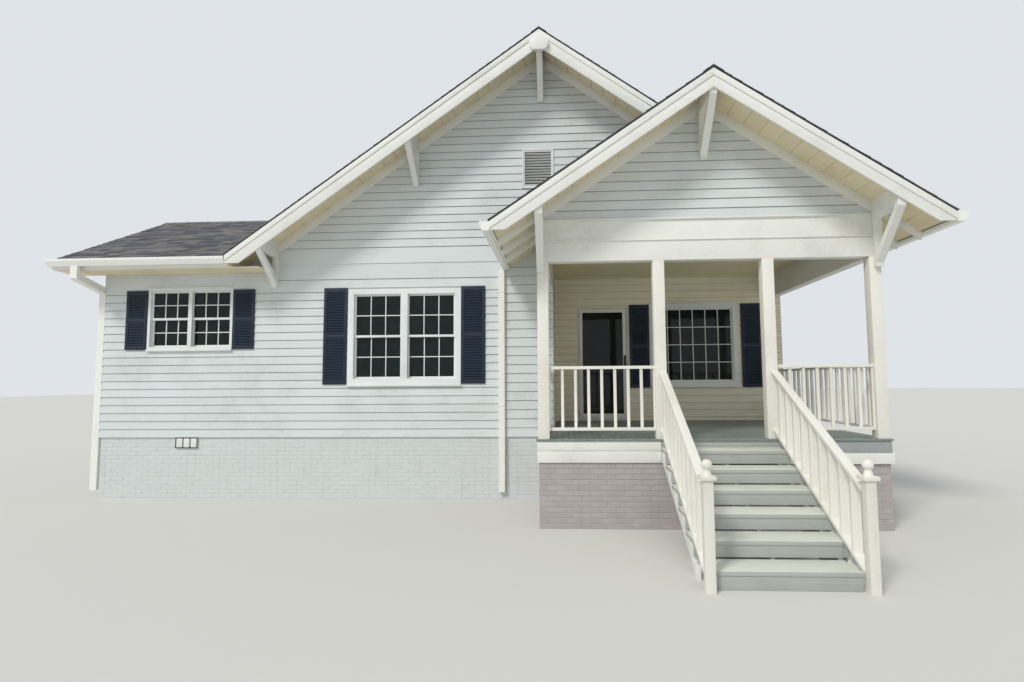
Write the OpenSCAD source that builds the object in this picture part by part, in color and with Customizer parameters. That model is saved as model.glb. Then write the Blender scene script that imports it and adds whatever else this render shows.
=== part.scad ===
// Gabled bungalow with a side wing, a recessed corner porch and a front stair.
// X runs along the front, Y runs into the house and Z is up. Lengths are millimetres.
// The house is laid out from the main ridge, the front wall face and the ground.

/* [Levels] */
// Top of the porch floor above the ground
porch_floor_z = 1100; // [1060:10:1140]
// Step up from the porch floor to the house floor
door_step = 25; // [20:1:40]
// Bottom of the wall boards below the porch floor
sill_drop = 135; // [120:5:160]
// Wall plate above the porch floor
plate_h = 2680; // [2650:5:2700]

/* [Main body] */
// Half of the width over the side walls
body_half = 4340; // [4300:5:4360]
// Depth from the front wall face to the back wall face
body_depth = 10400; // [9800:50:11000]
// Thickness of the timber walls
wall_t = 140; // [125:5:150]
// Thickness of the foundation walls
footing_t = 200; // [190:5:220]
// Setback of the foundation behind the wall face
footing_inset = 15; // [10:1:20]
// Underside of the main roof over the plate at the side wall face
heel_h = 334; // [325:1:345]
// Pitch of the main roof in degrees
main_pitch = 35.3; // [35:0.1:35.6]
// Overhang of the eaves beyond the side walls
eave_over = 544; // [530:2:560]
// Overhang of the gable ends
rake_over = 620; // [600:5:640]
// Thickness of every roof deck with its covering
roof_t = 80; // [70:2:85]

/* [Wing] */
// Width of the wing beyond the main side wall
wing_w = 2910; // [2880:10:2960]
// Depth of the wing
wing_depth = 4200; // [4100:10:4300]
// Underside of the wing roof over the plate at the front wall face
wing_heel_h = 180; // [170:1:190]
// Pitch of the wing roof in degrees
wing_pitch = 27; // [26.5:0.1:27.2]
// Overhang of the wing eaves
wing_eave = 500; // [480:5:510]
// Overhang of the wing gable end
wing_rake = 530; // [510:5:550]

/* [Porch] */
// Projection of the post faces in front of the front wall
porch_out = 1820; // [1780:10:1860]
// Depth of the entry recess behind the front wall face
recess_depth = 1710; // [1660:10:1760]
// Left side of the entry recess from the main ridge
recess_x = 160; // [155:1:170]
// Setback of the porch side inside the main side wall
porch_inset = 40; // [30:1:50]
// Square posts
post_t = 145; // [135:1:150]
// Clear bay between the first and second posts
left_bay = 1330; // [1300:5:1360]
// Clear bay over the stair
stair_bay = 1220; // [1200:5:1240]
// Underside of the porch beams above the porch floor
beam_h = 2257; // [2200:5:2280]
// Underside of the porch roof over the plate at the outer faces of the posts
porch_heel_h = 238; // [220:1:244]
// Pitch of the porch roof in degrees
porch_pitch = 33.9; // [33.7:0.1:34.2]
// Overhang of the porch eaves beyond the posts
porch_eave = 540; // [525:1:550]
// Thickness of the porch floor boards
deck_t = 24; // [20:1:28]
// Projection of the porch floor beyond its frame
deck_nosing = 25; // [20:1:30]
// Height of the porch floor frame
frame_h = 269; // [255:1:280]
// Thickness of the porch frame boards
frame_t = 38; // [34:1:42]
// Setback of the porch foundation behind its frame
base_inset = 12; // [8:1:20]
// Thickness of the ceiling boards
ceiling_t = 20; // [16:1:24]
// Thickness of the porch gable wall
gable_t = 80; // [70:1:90]

/* [Stair] */
// First tread below the porch floor
top_drop = 110; // [100:5:120]
// Number of treads
treads = 6; // [5:1:7]
// Nosing of the first tread in front of the posts
first_out = 300; // [290:1:310]
// Going of each tread
going = 356; // [345:1:365]
// Thickness of the treads
tread_t = 40; // [35:1:45]
// Thickness of the risers
riser_t = 20; // [16:1:24]
// Projection of the treads over the risers
nosing = 8; // [4:1:14]
// Clearance between the ends of the treads and the newels
newel_gap = 8; // [5:1:12]
// Thickness of the notched stringers
stringer_t = 40; // [35:1:45]
// Depth of the stringers below the notches
stringer_throat = 150; // [130:5:170]
// Square newels at the foot of the stair
newel_t = 89; // [85:1:95]
// Height of the newel shafts above the ground
newel_h = 958; // [945:1:970]
// Projection of the newel caps
cap_over = 23; // [18:1:27]
// Thickness of the newel caps
cap_t = 34; // [28:1:38]
// Height of the turned neck under the ball
neck_h = 46; // [40:1:52]
// Diameter of the ball finials
ball_d = 96; // [88:1:102]

/* [Railings] */
// Top of the porch railing above the porch floor
rail_h = 915; // [880:5:940]
// Width of the rails
rail_w = 60; // [50:1:62]
// Height of the rails
rail_t = 38; // [34:1:42]
// Underside of the bottom rail above the porch floor
rail_gap = 102; // [90:2:110]
// Square balusters
baluster_t = 36; // [32:1:40]
// Spacing of the porch balusters
baluster_step = 166; // [150:2:180]
// Spacing of the stair balusters
stair_step = 208; // [195:1:220]
// Width of the stair rails
stair_rail_w = 88; // [80:1:89]
// Top of the stair rail where it meets the porch post, above the porch floor
stair_rail_top = 842; // [830:1:855]
// Top of the stair rail below the newel cap
newel_drop = 70; // [60:1:80]
// Depth from the top of the stair rail to the underside of the lower rail
stair_rail_depth = 748; // [738:1:758]

/* [Openings] */
// Left edge of the storm door leaf
door_x = 619; // [610:1:625]
// Width of the storm door leaf
door_w = 889; // [870:1:892]
// Height of the storm door leaf
door_h = 2050; // [2030:5:2060]
// Thickness of the storm door leaf
door_t = 38; // [34:1:42]
// Clearance around the leaf
door_gap = 8; // [7:1:10]
// Width of the stiles and the top rail of the leaf
door_stile = 69; // [60:1:75]
// Height of the bottom rail of the leaf
door_foot = 92; // [80:1:110]
// Thickness of the door jambs and the window liners
jamb_t = 25; // [20:1:28]
// Thickness of the boards on the wall face
casing_t = 24; // [20:1:28]
// Thickness of a window sash
sash_t = 38; // [34:1:42]
// Setback of the sashes behind the wall face
sash_in = 45; // [40:1:50]
// Thickness of a shutter
shutter_t = 32; // [28:1:36]
// Thickness of the glass
glass_t = 6; // [4:1:8]

/* [Trim] */
// Height of the boards along the main rakes, square to the slope
main_board_h = 165; // [155:1:175]
// Height of the boards along the porch rakes
porch_board_h = 130; // [120:1:140]
// Height of the boards along the wing rakes
wing_board_h = 120; // [110:1:130]
// Thickness of the boards along the rakes
rake_board_t = 32; // [28:1:36]
// Width of the roof brackets
bracket_w = 92; // [85:1:98]
// Depth of the bracket arms under the roof
bracket_arm = 222; // [210:2:235]
// Height of the gable brackets
bracket_h = 710; // [690:5:740]
// Height of the brackets at the ridges
ridge_bracket_h = 805; // [790:5:820]
// Height of the porch brackets over the corner posts
corner_bracket_h = 830; // [810:5:850]
// Thickness of the bracket legs
bracket_leg = 70; // [60:1:80]
// Thickness of the bracket struts
strut_t = 88; // [80:1:96]
// Width of the gutters
gutter_w = 122; // [110:1:130]
// Height of the gutters
gutter_h = 112; // [100:1:120]
// Thickness of the gutter metal
gutter_t = 4; // [3:1:5]
// Width of the downspouts
spout_w = 96; // [80:1:104]
// Depth of the downspouts
spout_t = 70; // [60:1:80]
// Width of the downspouts on the wing
wing_spout_w = 114; // [104:1:120]

/* [Hidden] */
$fn = 48;

// Levels above the ground
sill_z = porch_floor_z - sill_drop;
floor_z = porch_floor_z + door_step;
plate_z = porch_floor_z + plate_h;
beam_z = porch_floor_z + beam_h;
base_z = porch_floor_z - deck_t - frame_h;

// Plan positions from the main ridge and the front wall face
wing_x = -body_half - wing_w;
wing_mid_y = wing_depth / 2;
main_half = body_half + eave_over;
entry_y = recess_depth + wall_t;
porch_right = body_half - porch_inset;
porch_mid = porch_right / 2;
porch_half = porch_mid + porch_eave;
porch_front_y = -porch_out - rake_over;
post_x = [0, post_t + left_bay, 2 * post_t + left_bay + stair_bay, porch_right - post_t];
back_rake_y = body_depth + rake_over;
wing_soffit_x = wing_x - wing_rake + rake_board_t;

// Vertical depth of each roof deck and of the boards along its rakes
main_tv = roof_t / cos(main_pitch);
wing_tv = roof_t / cos(wing_pitch);
porch_tv = roof_t / cos(porch_pitch);
main_bv = main_board_h / cos(main_pitch);
wing_bv = wing_board_h / cos(wing_pitch);
porch_bv = porch_board_h / cos(porch_pitch);

// Ridges
ridge_z = plate_z + heel_h + body_half * tan(main_pitch) + main_tv;
wing_ridge_z = plate_z + wing_heel_h + wing_mid_y * tan(wing_pitch) + wing_tv;
porch_ridge_z = plate_z + porch_heel_h + porch_mid * tan(porch_pitch) + porch_tv;

// Seam between the main walls and the deck they carry
wall_seat = 0.1;

// Plumb cut of the rake boards below the deck at the eaves
rake_foot = 49;
wing_fascia_h = 65;
wing_soffit_z = wing_under(-wing_eave) - wing_fascia_h;
soffit_t = 15;

// Openings above the porch floor, each as left, bottom, right and top
wing_open = [-6480, 1322, -5103, 2266];
front_open = [-3063, 780, -1390, 2165];
entry_open = [2002, 700, 3475, 2086];
side_open = [0, 780, 900, 2165];
vent_drop = 1707;
vent_h = 605;
vent_top = ridge_z - porch_floor_z - vent_drop;
gable_vent = [-290, vent_top - vent_h, 182, vent_top];
base_vent = [-5960, -308, -5594, -139];
jamb_w = door_gap + jamb_t;
door_open = [door_x - jamb_w, 0, door_x + door_w + jamb_w, floor_z + 2 * door_gap + door_h + jamb_t];
wing_side_y = 1650;
wing_back_x = -6200;
right_window_y = [3300, 6900];
left_window_y = [5400, 8100];
back_window_x = [-3100, -450, 2200];
passage_side = 300;
passage_head = 450;

// Stair
riser = (porch_floor_z - top_drop) / treads;
stair_x0 = post_x[1] + post_t + 3;
stair_x1 = post_x[2] + 50;
first_nosing_y = -porch_out - first_out;
newel_y = first_nosing_y - (treads - 1) * going - newel_t;
newel_x = [stair_x0 - newel_gap - newel_t, stair_x1 + newel_gap];
rail_run = -porch_out - newel_y - newel_t;
rail_fall = porch_floor_z + stair_rail_top - newel_h + newel_drop;

// Fixed small sizes of the brackets, gutters, beams, windows, vents and the door handle
middle_bracket_x = 2050;
low_bracket_out = 30;
front_bracket_x = [-body_half - low_bracket_out, -middle_bracket_x, 0];
back_bracket_x = [-body_half, -middle_bracket_x, 0, middle_bracket_x, body_half];
soffit_end = [front_bracket_x[0] - bracket_w / 2 - 4, -body_half];
end_block_t = 60;
end_block_w = 285;
end_block_h = 280;
end_block_cut = 45;
end_block_low = 70;
end_block_high = 150;
gutter_lip = 36;
gutter_drop = 20;
wing_gutter_end = -4905;
spout_foot = 120;
spout_gap = 2;
spout_off = 20;
outlet_h = 195;
offset_fall = 150;
strap_z = [1200, 3000];
strap_h = 25;
joists = 6;
joist_x0 = -120;
joist_gap = 620;
joist_h = 190;
beam_top_z = plate_z - ceiling_t;
facing_h = 256;
moulding_h = 16;
frieze_t = 60;
stringer_in = 5;
neck_d = 54;
neck_foot_d = 88;
picket_in = 2;
liner_t = 12;
sash_w = 28;
sill_out = 26;
sill_t = 30;
wing_casing = 32;
front_casing = 85;
entry_casing = 70;
wing_mullion = 20;
front_mullion = 90;
// Shutters, each as width, feet and heads from the casing, and gaps on the left and right
wing_shutter = [360, -3, -33, 10, 5];
front_shutter = [385, 5, 15, 14, 5];
entry_shutter = [365, -30, -6, 5, 70];
shutter_rail = 70;
shutter_stile = 48;
shutter_sunk = 14;
vent_out = 18;
vent_depth = 70;
vent_frame = 22;
gable_slats = 12;
base_slats = 4;
slat_tilt = -35;
slat_in = 12;
slat_w = 62;
slat_t = 8;
hinge_in = 4;
hinge_out = 12;
hinge_r = 7;
hinge_h = 40;
hinge_z = [180, 985, 1790];
handle_z = floor_z + 960;
handle_h = 190;
handle_t = 22;
handle_out = 48;

// Centre of the whole outline in plan
outline_x0 = wing_x - wing_rake;
outline_x1 = main_half + gutter_w;
outline_y0 = newel_y - cap_over;
outline_y1 = back_rake_y;
mid_x = (outline_x0 + outline_x1) / 2;
mid_y = (outline_y0 + outline_y1) / 2;

function main_top(x) = ridge_z - abs(x) * tan(main_pitch);
function main_under(x) = main_top(x) - main_tv;
function wall_top(x) = main_under(x) - wall_seat;
function wing_top(y) = wing_ridge_z - abs(y - wing_mid_y) * tan(wing_pitch);
function wing_under(y) = wing_top(y) - wing_tv;
function porch_top(x) = porch_ridge_z - abs(x - porch_mid) * tan(porch_pitch);
function porch_under(x) = porch_top(x) - porch_tv;
function tread_y(i) = first_nosing_y - i * going;
function tread_z(i) = porch_floor_z - top_drop - i * riser;
function stair_rail_z(y) = porch_floor_z + stair_rail_top + (y + porch_out) * rail_fall / rail_run;

// Places a sub-part in the frame of the whole house
module site() translate([-mid_x, -mid_y, 0]) children();

// Box between two corners
module box(a, b) translate(a) cube(b - a);

// Outline in X and Z, drawn out along Y
module along_y(y0, y1) translate([0, y1, 0]) rotate([90, 0, 0]) linear_extrude(y1 - y0) children();

// Outline in Y and Z, drawn out along X
module along_x(x0, x1) translate([x0, 0, 0]) rotate([90, 0, 90]) linear_extrude(x1 - x0) children();

// Rectangle frame in X and Z around an opening, w wide on every side
module ring_y(o, w, y0, y1) difference() {
    box([o[0] - w, y0, o[1] - w], [o[2] + w, y1, o[3] + w]);
    box([o[0], y0 - 1, o[1]], [o[2], y1 + 1, o[3]]);
}

// The same opening lifted from the porch floor to the ground frame
function lifted(o) = [o[0], o[1] + porch_floor_z, o[2], o[3] + porch_floor_z];

// Everything from the ground to the top of the main roof, out to its eaves
module below_main(y0, y1) along_y(y0, y1)
    polygon([[-main_half, 0], [-main_half, main_top(main_half)], [0, ridge_z],
        [main_half, main_top(main_half)], [main_half, 0]]);

// The main roof deck
module main_deck(y0, y1) along_y(y0, y1)
    polygon([[-main_half, main_under(main_half)], [-main_half, main_top(main_half)], [0, ridge_z],
        [main_half, main_top(main_half)], [main_half, main_under(main_half)], [0, ridge_z - main_tv]]);

// Everything from the underside of the main roof upwards
module above_main(y0, y1) along_y(y0, y1)
    polygon([[-main_half, main_under(main_half)], [0, main_under(0)], [main_half, main_under(main_half)],
        [main_half, ridge_z], [-main_half, ridge_z]]);

// Everything under the porch roof
module below_porch(y0, y1) along_y(y0, y1)
    polygon([[porch_mid - porch_half, 0], [porch_mid - porch_half, porch_under(porch_mid - porch_half)],
        [porch_mid, porch_under(porch_mid)], [porch_mid + porch_half, porch_under(porch_mid + porch_half)],
        [porch_mid + porch_half, 0]]);

// Outline of the whole body in plan, set back by d
module body_plan(d) difference() {
    union() {
        translate([-body_half + d, d]) square([2 * (body_half - d), body_depth - 2 * d]);
        translate([wing_x + d, d]) square([wing_w + body_half, wing_depth - 2 * d]);
    }
    translate([recess_x - d, -1]) square([body_half, recess_depth + d + 1]);
}

// Opening through a wall that faces the front or the back
module hole_y(o, y0, y1) box([o[0], y0 - 1, o[1]], [o[2], y1 + 1, o[3]]);

// Opening through a side wall, with its left edge at y
module hole_x(y, o, x0, x1) box([x0 - 1, y + o[0], o[1]], [x1 + 1, y + o[2], o[3]]);

module foundation() color("lightgray") site() difference() {
    linear_extrude(sill_z) difference() {
        body_plan(footing_inset);
        difference() {
            body_plan(footing_inset + footing_t);
            translate([-body_half + footing_inset, 0]) square([footing_t, wing_depth]);
        }
    }
    hole_y(lifted(base_vent), footing_inset, footing_inset + footing_t);
}

module porch_foundation() color("silver") site() linear_extrude(base_z) {
    translate([base_inset, -porch_out + base_inset]) square([porch_right - 2 * base_inset, footing_t]);
    translate([base_inset, -porch_out + base_inset])
        square([footing_t, porch_out - base_inset + footing_inset]);
    translate([porch_right - base_inset - footing_t, -porch_out + base_inset])
        square([footing_t, porch_out - base_inset + recess_depth + footing_inset]);
}

module house_floor() color("burlywood") site() translate([0, 0, sill_z])
    linear_extrude(floor_z - sill_z) difference() {
        body_plan(wall_t);
        translate([-body_half, 0]) square([wall_t, wing_depth]);
    }

module wing_front_wall() color("ivory") site() difference() {
    along_x(wing_x + wall_t, -body_half)
        polygon([[0, sill_z], [wall_t, sill_z], [wall_t, wing_under(wall_t)], [0, wing_under(0)]]);
    main_deck(-1, wall_t + 1);
    hole_y(lifted(wing_open), 0, wall_t);
}

module wing_side_wall() color("ivory") site() difference() {
    along_x(wing_x, wing_x + wall_t)
        polygon([[0, sill_z], [wing_depth, sill_z], [wing_depth, wing_under(wing_depth)],
            [wing_mid_y, wing_under(wing_mid_y)], [0, wing_under(0)]]);
    hole_x(wing_side_y, lifted(side_open), wing_x, wing_x + wall_t);
}

module wing_back_wall() color("ivory") site() difference() {
    along_x(wing_x + wall_t, -body_half)
        polygon([[wing_depth - wall_t, sill_z], [wing_depth, sill_z], [wing_depth, wing_under(wing_depth)],
            [wing_depth - wall_t, wing_under(wing_depth - wall_t)]]);
    main_deck(wing_depth - wall_t - 1, wing_depth + 1);
    translate([wing_back_x, 0, 0]) hole_y(lifted(side_open), wing_depth - wall_t, wing_depth);
}

module front_wall() color("ivory") site() difference() {
    union() {
        box([-body_half, 0, sill_z], [recess_x, wall_t, plate_z]);
        box([recess_x - wall_t, 0, sill_z], [recess_x, entry_y, plate_z]);
    }
    hole_y(lifted(front_open), 0, wall_t);
}

// Gable end of the main body from a level up to the roof, between two faces
module main_gable(z, y0, y1) along_y(y0, y1)
    polygon([[-body_half, z], [body_half, z], [body_half, wall_top(body_half)], [0, wall_top(0)],
        [-body_half, wall_top(body_half)]]);

module gable_wall() color("ivory") site() difference() {
    main_gable(plate_z, 0, wall_t);
    hole_y(lifted(gable_vent), 0, wall_t);
}

module entry_wall_left() color("white") site()
    box([recess_x, recess_depth, sill_z], [door_open[0], entry_y, plate_z]);

module entry_wall_head() color("white") site() {
    box([door_open[0], recess_depth, door_open[3]], [door_open[2], entry_y, plate_z]);
}

module entry_wall_right() color("white") site() difference() {
    box([door_open[2], recess_depth, sill_z], [body_half, entry_y, plate_z]);
    hole_y(lifted(entry_open), recess_depth, entry_y);
}

// Side wall of the main body, its top sloping under the main roof
module side_wall(z, y0, y1) along_y(y0, y1)
    polygon([[body_half - wall_t, z], [body_half, z], [body_half, wall_top(body_half)],
        [body_half - wall_t, wall_top(body_half - wall_t)]]);

module right_wall() color("ivory") site() difference() {
    union() {
        side_wall(sill_z, entry_y, body_depth - wall_t);
        side_wall(plate_z, wall_t, entry_y + wall_t);
    }
    for (y = right_window_y) hole_x(y, lifted(side_open), body_half - wall_t, body_half);
}

module left_wall() color("ivory") site() difference() {
    mirror([1, 0, 0]) side_wall(sill_z, wall_t, body_depth - wall_t);
    box([-body_half - 1, wall_t + passage_side, floor_z],
        [-body_half + wall_t + 1, wing_depth - wall_t - passage_side, plate_z - passage_head]);
    for (y = left_window_y) hole_x(y, lifted(side_open), -body_half, -body_half + wall_t);
}

module back_wall() color("ivory") site() difference() {
    main_gable(sill_z, body_depth - wall_t, body_depth);
    for (x = back_window_x) translate([x, 0, 0]) hole_y(lifted(side_open), body_depth - wall_t, body_depth);
}

module main_roof() color("dimgray") site() main_deck(-rake_over, back_rake_y);

module wing_roof() color("dimgray") site() difference() {
    along_x(wing_x - wing_rake, 0)
        polygon([for (p = [[-wing_eave, 0], [wing_mid_y, 0], [wing_depth + wing_eave, 0],
            [wing_depth + wing_eave, 1], [wing_mid_y, 1], [-wing_eave, 1]])
            [p[0], wing_top(p[0]) - p[1] * wing_tv]]);
    below_main(-rake_over, body_depth);
}

module porch_roof() color("dimgray") site() difference() {
    along_y(porch_front_y, 0)
        polygon([for (p = [[-1, 0], [0, 0], [1, 0], [1, 1], [0, 1], [-1, 1]])
            [porch_mid + p[0] * porch_half, porch_top(porch_mid + p[0] * porch_half) - p[1] * porch_tv]]);
    above_main(-rake_over, 1);
}

// The eave boards start behind the wing on the left and behind the front rake on the right
eave_start = [wing_depth + wing_eave, rake_board_t - rake_over];
porch_rake_foot = 27;
tails = 3;
tail_step = 520;
tail_h = 118;
tail_reach = porch_eave - rake_board_t;

// One rake board on the left slope of the main roof
module main_rake(y0, y1) along_y(y0, y1) intersection() {
    polygon([[-main_half, main_under(main_half)], [0, main_under(0)], [0, main_under(0) - main_bv],
        [-main_half, main_under(main_half) - main_bv]]);
    translate([-main_half, main_under(main_half) - rake_foot]) square([main_half, ridge_z]);
}

module main_rake_boards() color("white") site() {
    main_rake(-rake_over, -rake_over + rake_board_t);
    difference() {
        mirror([1, 0, 0]) main_rake(-rake_over, -rake_over + rake_board_t);
        along_y(-rake_over - 1, 0)
            polygon([[porch_mid - porch_half, 0],
                [porch_mid - porch_half, porch_top(porch_mid - porch_half)], [porch_mid, porch_ridge_z],
                [porch_mid + porch_half, porch_top(porch_mid + porch_half)], [porch_mid + porch_half, 0]]);
    }
    for (s = [0, 1]) mirror([s, 0, 0]) {
        main_rake(back_rake_y - rake_board_t, back_rake_y);
        box([-main_half, eave_start[s],
            main_under(main_half) - rake_foot],
            [-main_half + rake_board_t, back_rake_y - rake_board_t, main_under(main_half)]);
    }
}

module porch_rake_boards() color("white") site() {
    along_y(porch_front_y, porch_front_y + rake_board_t) intersection() {
        polygon([[porch_mid - porch_half, porch_under(porch_mid - porch_half)],
            [porch_mid, porch_under(porch_mid)], [porch_mid + porch_half, porch_under(porch_mid + porch_half)],
            [porch_mid + porch_half, porch_under(porch_mid + porch_half) - porch_bv],
            [porch_mid, porch_under(porch_mid) - porch_bv],
            [porch_mid - porch_half, porch_under(porch_mid - porch_half) - porch_bv]]);
        translate([porch_mid - porch_half, porch_under(porch_mid - porch_half) - porch_rake_foot])
            square([2 * porch_half, ridge_z]);
    }
    for (s = [0, 1]) translate([s * 2 * porch_mid, 0, 0]) mirror([s, 0, 0])
        box([porch_mid - porch_half, porch_front_y + rake_board_t,
            porch_under(porch_mid - porch_half) - porch_rake_foot],
            [porch_mid - porch_half + rake_board_t, -s * rake_over,
            porch_under(porch_mid - porch_half)]);
    // Rafter tails under the eaves, from the side faces out to the boards along the eaves
    for (s = [0, 1], i = [0:tails - 1]) translate([s * 2 * porch_mid, 0, 0]) mirror([s, 0, 0])
        along_y(-porch_out + i * tail_step, -porch_out + i * tail_step + frame_t)
            polygon([for (p = [[0, 0], [0, 1], [-tail_reach, 1], [-tail_reach, 0]])
                [p[0], porch_under(p[0]) - p[1] * tail_h]]);
}

module wing_trim() color("white") site() {
    // Boards along the eaves
    for (y = [-wing_eave, wing_depth + wing_eave - rake_board_t])
        box([wing_x - wing_rake + rake_board_t, y, wing_soffit_z],
            [-main_half, y + rake_board_t, wing_under(-wing_eave)]);
    // Boards along the rake of the end
    along_x(wing_x - wing_rake, wing_x - wing_rake + rake_board_t) intersection() {
        polygon([for (p = [[-wing_eave, 0], [wing_mid_y, 0], [wing_depth + wing_eave, 0],
            [wing_depth + wing_eave, 1], [wing_mid_y, 1], [-wing_eave, 1]])
            [p[0], wing_under(p[0]) - p[1] * wing_bv]]);
        translate([-wing_eave, wing_soffit_z]) square([wing_depth + 2 * wing_eave, ridge_z]);
    }
    // Boxed soffits
    for (s = [0, 1]) {
        y = s * (wing_depth + wing_eave - rake_board_t) - (1 - s) * (wing_eave - rake_board_t);
        box([wing_soffit_x, min(y, s * wing_depth), wing_soffit_z],
            [soffit_end[s], max(y, s * wing_depth), wing_soffit_z + soffit_t]);
    }
}

// Bracket of a leg, an arm and a sloped strut, from a wall face at y to its tip
module bracket(x, y, tip, top, h) {
    x0 = x - bracket_w / 2;
    box([x0, y - bracket_leg, top - h], [x0 + bracket_w, y, top + bracket_w]);
    box([x0, tip, top - bracket_arm], [x0 + bracket_w, y - bracket_leg, top + bracket_w]);
    along_x(x0, x0 + bracket_w)
        polygon([[y - bracket_leg, top - h + strut_t / 2], [y - bracket_leg, top - h + 2 * strut_t],
            [tip + strut_t, top - bracket_arm], [tip, top - bracket_arm]]);
}

module gable_brackets() color("white") site() {
    // Front, with the hexagonal end of the ridge beam
    difference() {
        union() {
            for (x = front_bracket_x)
                bracket(x, 0, -rake_over + rake_board_t, main_under(x), x == 0 ? ridge_bracket_h : bracket_h);
        }
        above_main(-rake_over, 1);
    }
    along_y(-rake_over - end_block_t, -rake_over) translate([0, main_under(0) - end_block_h])
        polygon([[-end_block_w / 2 + end_block_cut, 0], [end_block_w / 2 - end_block_cut, 0],
            [end_block_w / 2, end_block_low], [end_block_w / 2, end_block_high], [0, end_block_h],
            [-end_block_w / 2, end_block_high], [-end_block_w / 2, end_block_low]]);
    // Back
    difference() {
        translate([0, body_depth, 0]) mirror([0, 1, 0]) union() {
            for (x = back_bracket_x)
                bracket(x, 0, -rake_over + rake_board_t, main_under(x), x == 0 ? ridge_bracket_h : bracket_h);
        }
        above_main(body_depth - 1, back_rake_y);
    }
}

module porch_brackets() color("white") site() intersection() {
    union() {
        bracket(porch_mid, -porch_out + casing_t, porch_front_y + rake_board_t, porch_under(porch_mid),
            ridge_bracket_h);
        bracket(bracket_w / 2, -porch_out, porch_front_y + rake_board_t, porch_under(bracket_w / 2),
            corner_bracket_h);
        bracket(porch_right - bracket_w / 2, -porch_out, porch_front_y + rake_board_t,
            porch_under(bracket_w / 2), corner_bracket_h);
    }
    below_porch(porch_front_y, 0);
}

// Gutter along Y, its back at x = 0 and its top at z = 0
module gutter(y0, y1) difference() {
    along_y(y0, y1)
        polygon([[0, 0], [0, -gutter_h], [gutter_w - gutter_lip, -gutter_h], [gutter_w, -gutter_lip], [gutter_w, 0]]);
    along_y(y0 + gutter_t, y1 - gutter_t)
        polygon([[gutter_t, 1], [gutter_t, gutter_t - gutter_h], [gutter_w - gutter_lip - gutter_t, gutter_t - gutter_h],
            [gutter_w - gutter_t, -gutter_lip], [gutter_w - gutter_t, 1]]);
}

// Downspout down a wall face at x = 0, with an offset out to a gutter reach away at height z
module downspout(reach, z) {
    along_y(0, spout_w) polygon([[0, spout_foot], [spout_t, spout_foot], [spout_t, z - reach - spout_t],
        [reach + spout_t, z - 2 * spout_t], [reach + spout_t, z], [reach, z], [reach, z - 1.6 * spout_t],
        [0, z - reach - spout_t / 2]]);
}

module gutters() color("white") site() {
    // Wing, front and back
    translate([0, -wing_eave, wing_top(-wing_eave)]) rotate([0, 0, -90]) gutter(wing_x - wing_rake, wing_gutter_end);
    translate([0, wing_depth + wing_eave, wing_top(-wing_eave)]) mirror([0, 1, 0]) rotate([0, 0, -90])
        gutter(wing_x - wing_rake, wing_gutter_end);
    // Porch, left and right
    translate([porch_mid - porch_half, 0, porch_top(porch_mid + porch_half) - gutter_drop]) mirror([1, 0, 0])
        gutter(porch_front_y, 0);
    translate([porch_mid + porch_half, 0, porch_top(porch_mid + porch_half) - gutter_drop])
        gutter(porch_front_y, -rake_over - gutter_drop);
    // Main body, right and left behind the wing
    translate([main_half, 0, main_top(main_half) - gutter_drop]) gutter(-rake_over, back_rake_y);
    translate([-main_half, 0, main_top(main_half) - gutter_drop]) mirror([1, 0, 0])
        gutter(wing_depth + wing_eave + gutter_w + gutter_drop, back_rake_y);
    // Downspouts: front wall, wing, and the back corners of the main body
    box([porch_mid - porch_half - gutter_w - spout_t / 2, -spout_t, spout_foot],
        [porch_mid - porch_half - gutter_w + spout_w - spout_t / 2, 0,
        porch_top(porch_mid + porch_half) - gutter_drop - gutter_h - spout_gap]);
    for (y = [0, wing_depth]) translate([wing_x, y, 0]) mirror([0, y > 0 ? 1 : 0, 0]) wing_spout();
    for (s = [0, 1]) mirror([s, 0, 0]) translate([body_half, body_depth - 2 * spout_w, 0])
        downspout(eave_over + gutter_t, main_top(main_half) - gutter_drop - gutter_h - spout_gap);
}

// Downspout that stands off the side of the wing, with an offset forward to the gutter
module wing_spout() {
    out = -wing_eave - (gutter_w + spout_t) / 2;
    top = wing_top(-wing_eave) - gutter_h - spout_gap;
    fall = atan(-offset_fall / out);
    lift = spout_t / cos(fall) - spout_t * tan(fall);
    elbow = top - outlet_h;
    along_x(-spout_off - wing_spout_w, -spout_off)
        polygon([[0, spout_foot], [spout_t, spout_foot], [spout_t, elbow - offset_fall + lift],
            [out + spout_t, elbow + lift], [out + spout_t, top], [out, top], [out, elbow],
            [0, elbow - offset_fall]]);
    for (z = strap_z) box([-spout_off - 1, spout_t / 4, z], [0, spout_t * 3 / 4, z + strap_h]);
}

module porch_frame() color("white") site() {
    frame_z = porch_floor_z - deck_t;
    union() {
        box([0, -porch_out, base_z], [porch_right, -porch_out + frame_t, frame_z]);
        box([0, -porch_out, base_z], [frame_t, 0, frame_z]);
        box([porch_right - frame_t, -porch_out, base_z], [porch_right, recess_depth, frame_z]);
        for (i = [1:joists])
            box([joist_x0 + i * joist_gap, -porch_out + frame_t, frame_z - joist_h],
                [joist_x0 + i * joist_gap + frame_t, recess_depth, frame_z]);
    }
}

module porch_floor() color("gray") site() union() {
    box([-deck_nosing, -porch_out - deck_nosing, porch_floor_z - deck_t],
        [porch_right + deck_nosing, 0, porch_floor_z]);
    box([recess_x, -1, porch_floor_z - deck_t], [porch_right + deck_nosing, recess_depth, porch_floor_z]);
}

module porch_posts() color("white") site() for (x = post_x)
    box([x, -porch_out, porch_floor_z], [x + post_t, -porch_out + post_t, beam_z]);

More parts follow.
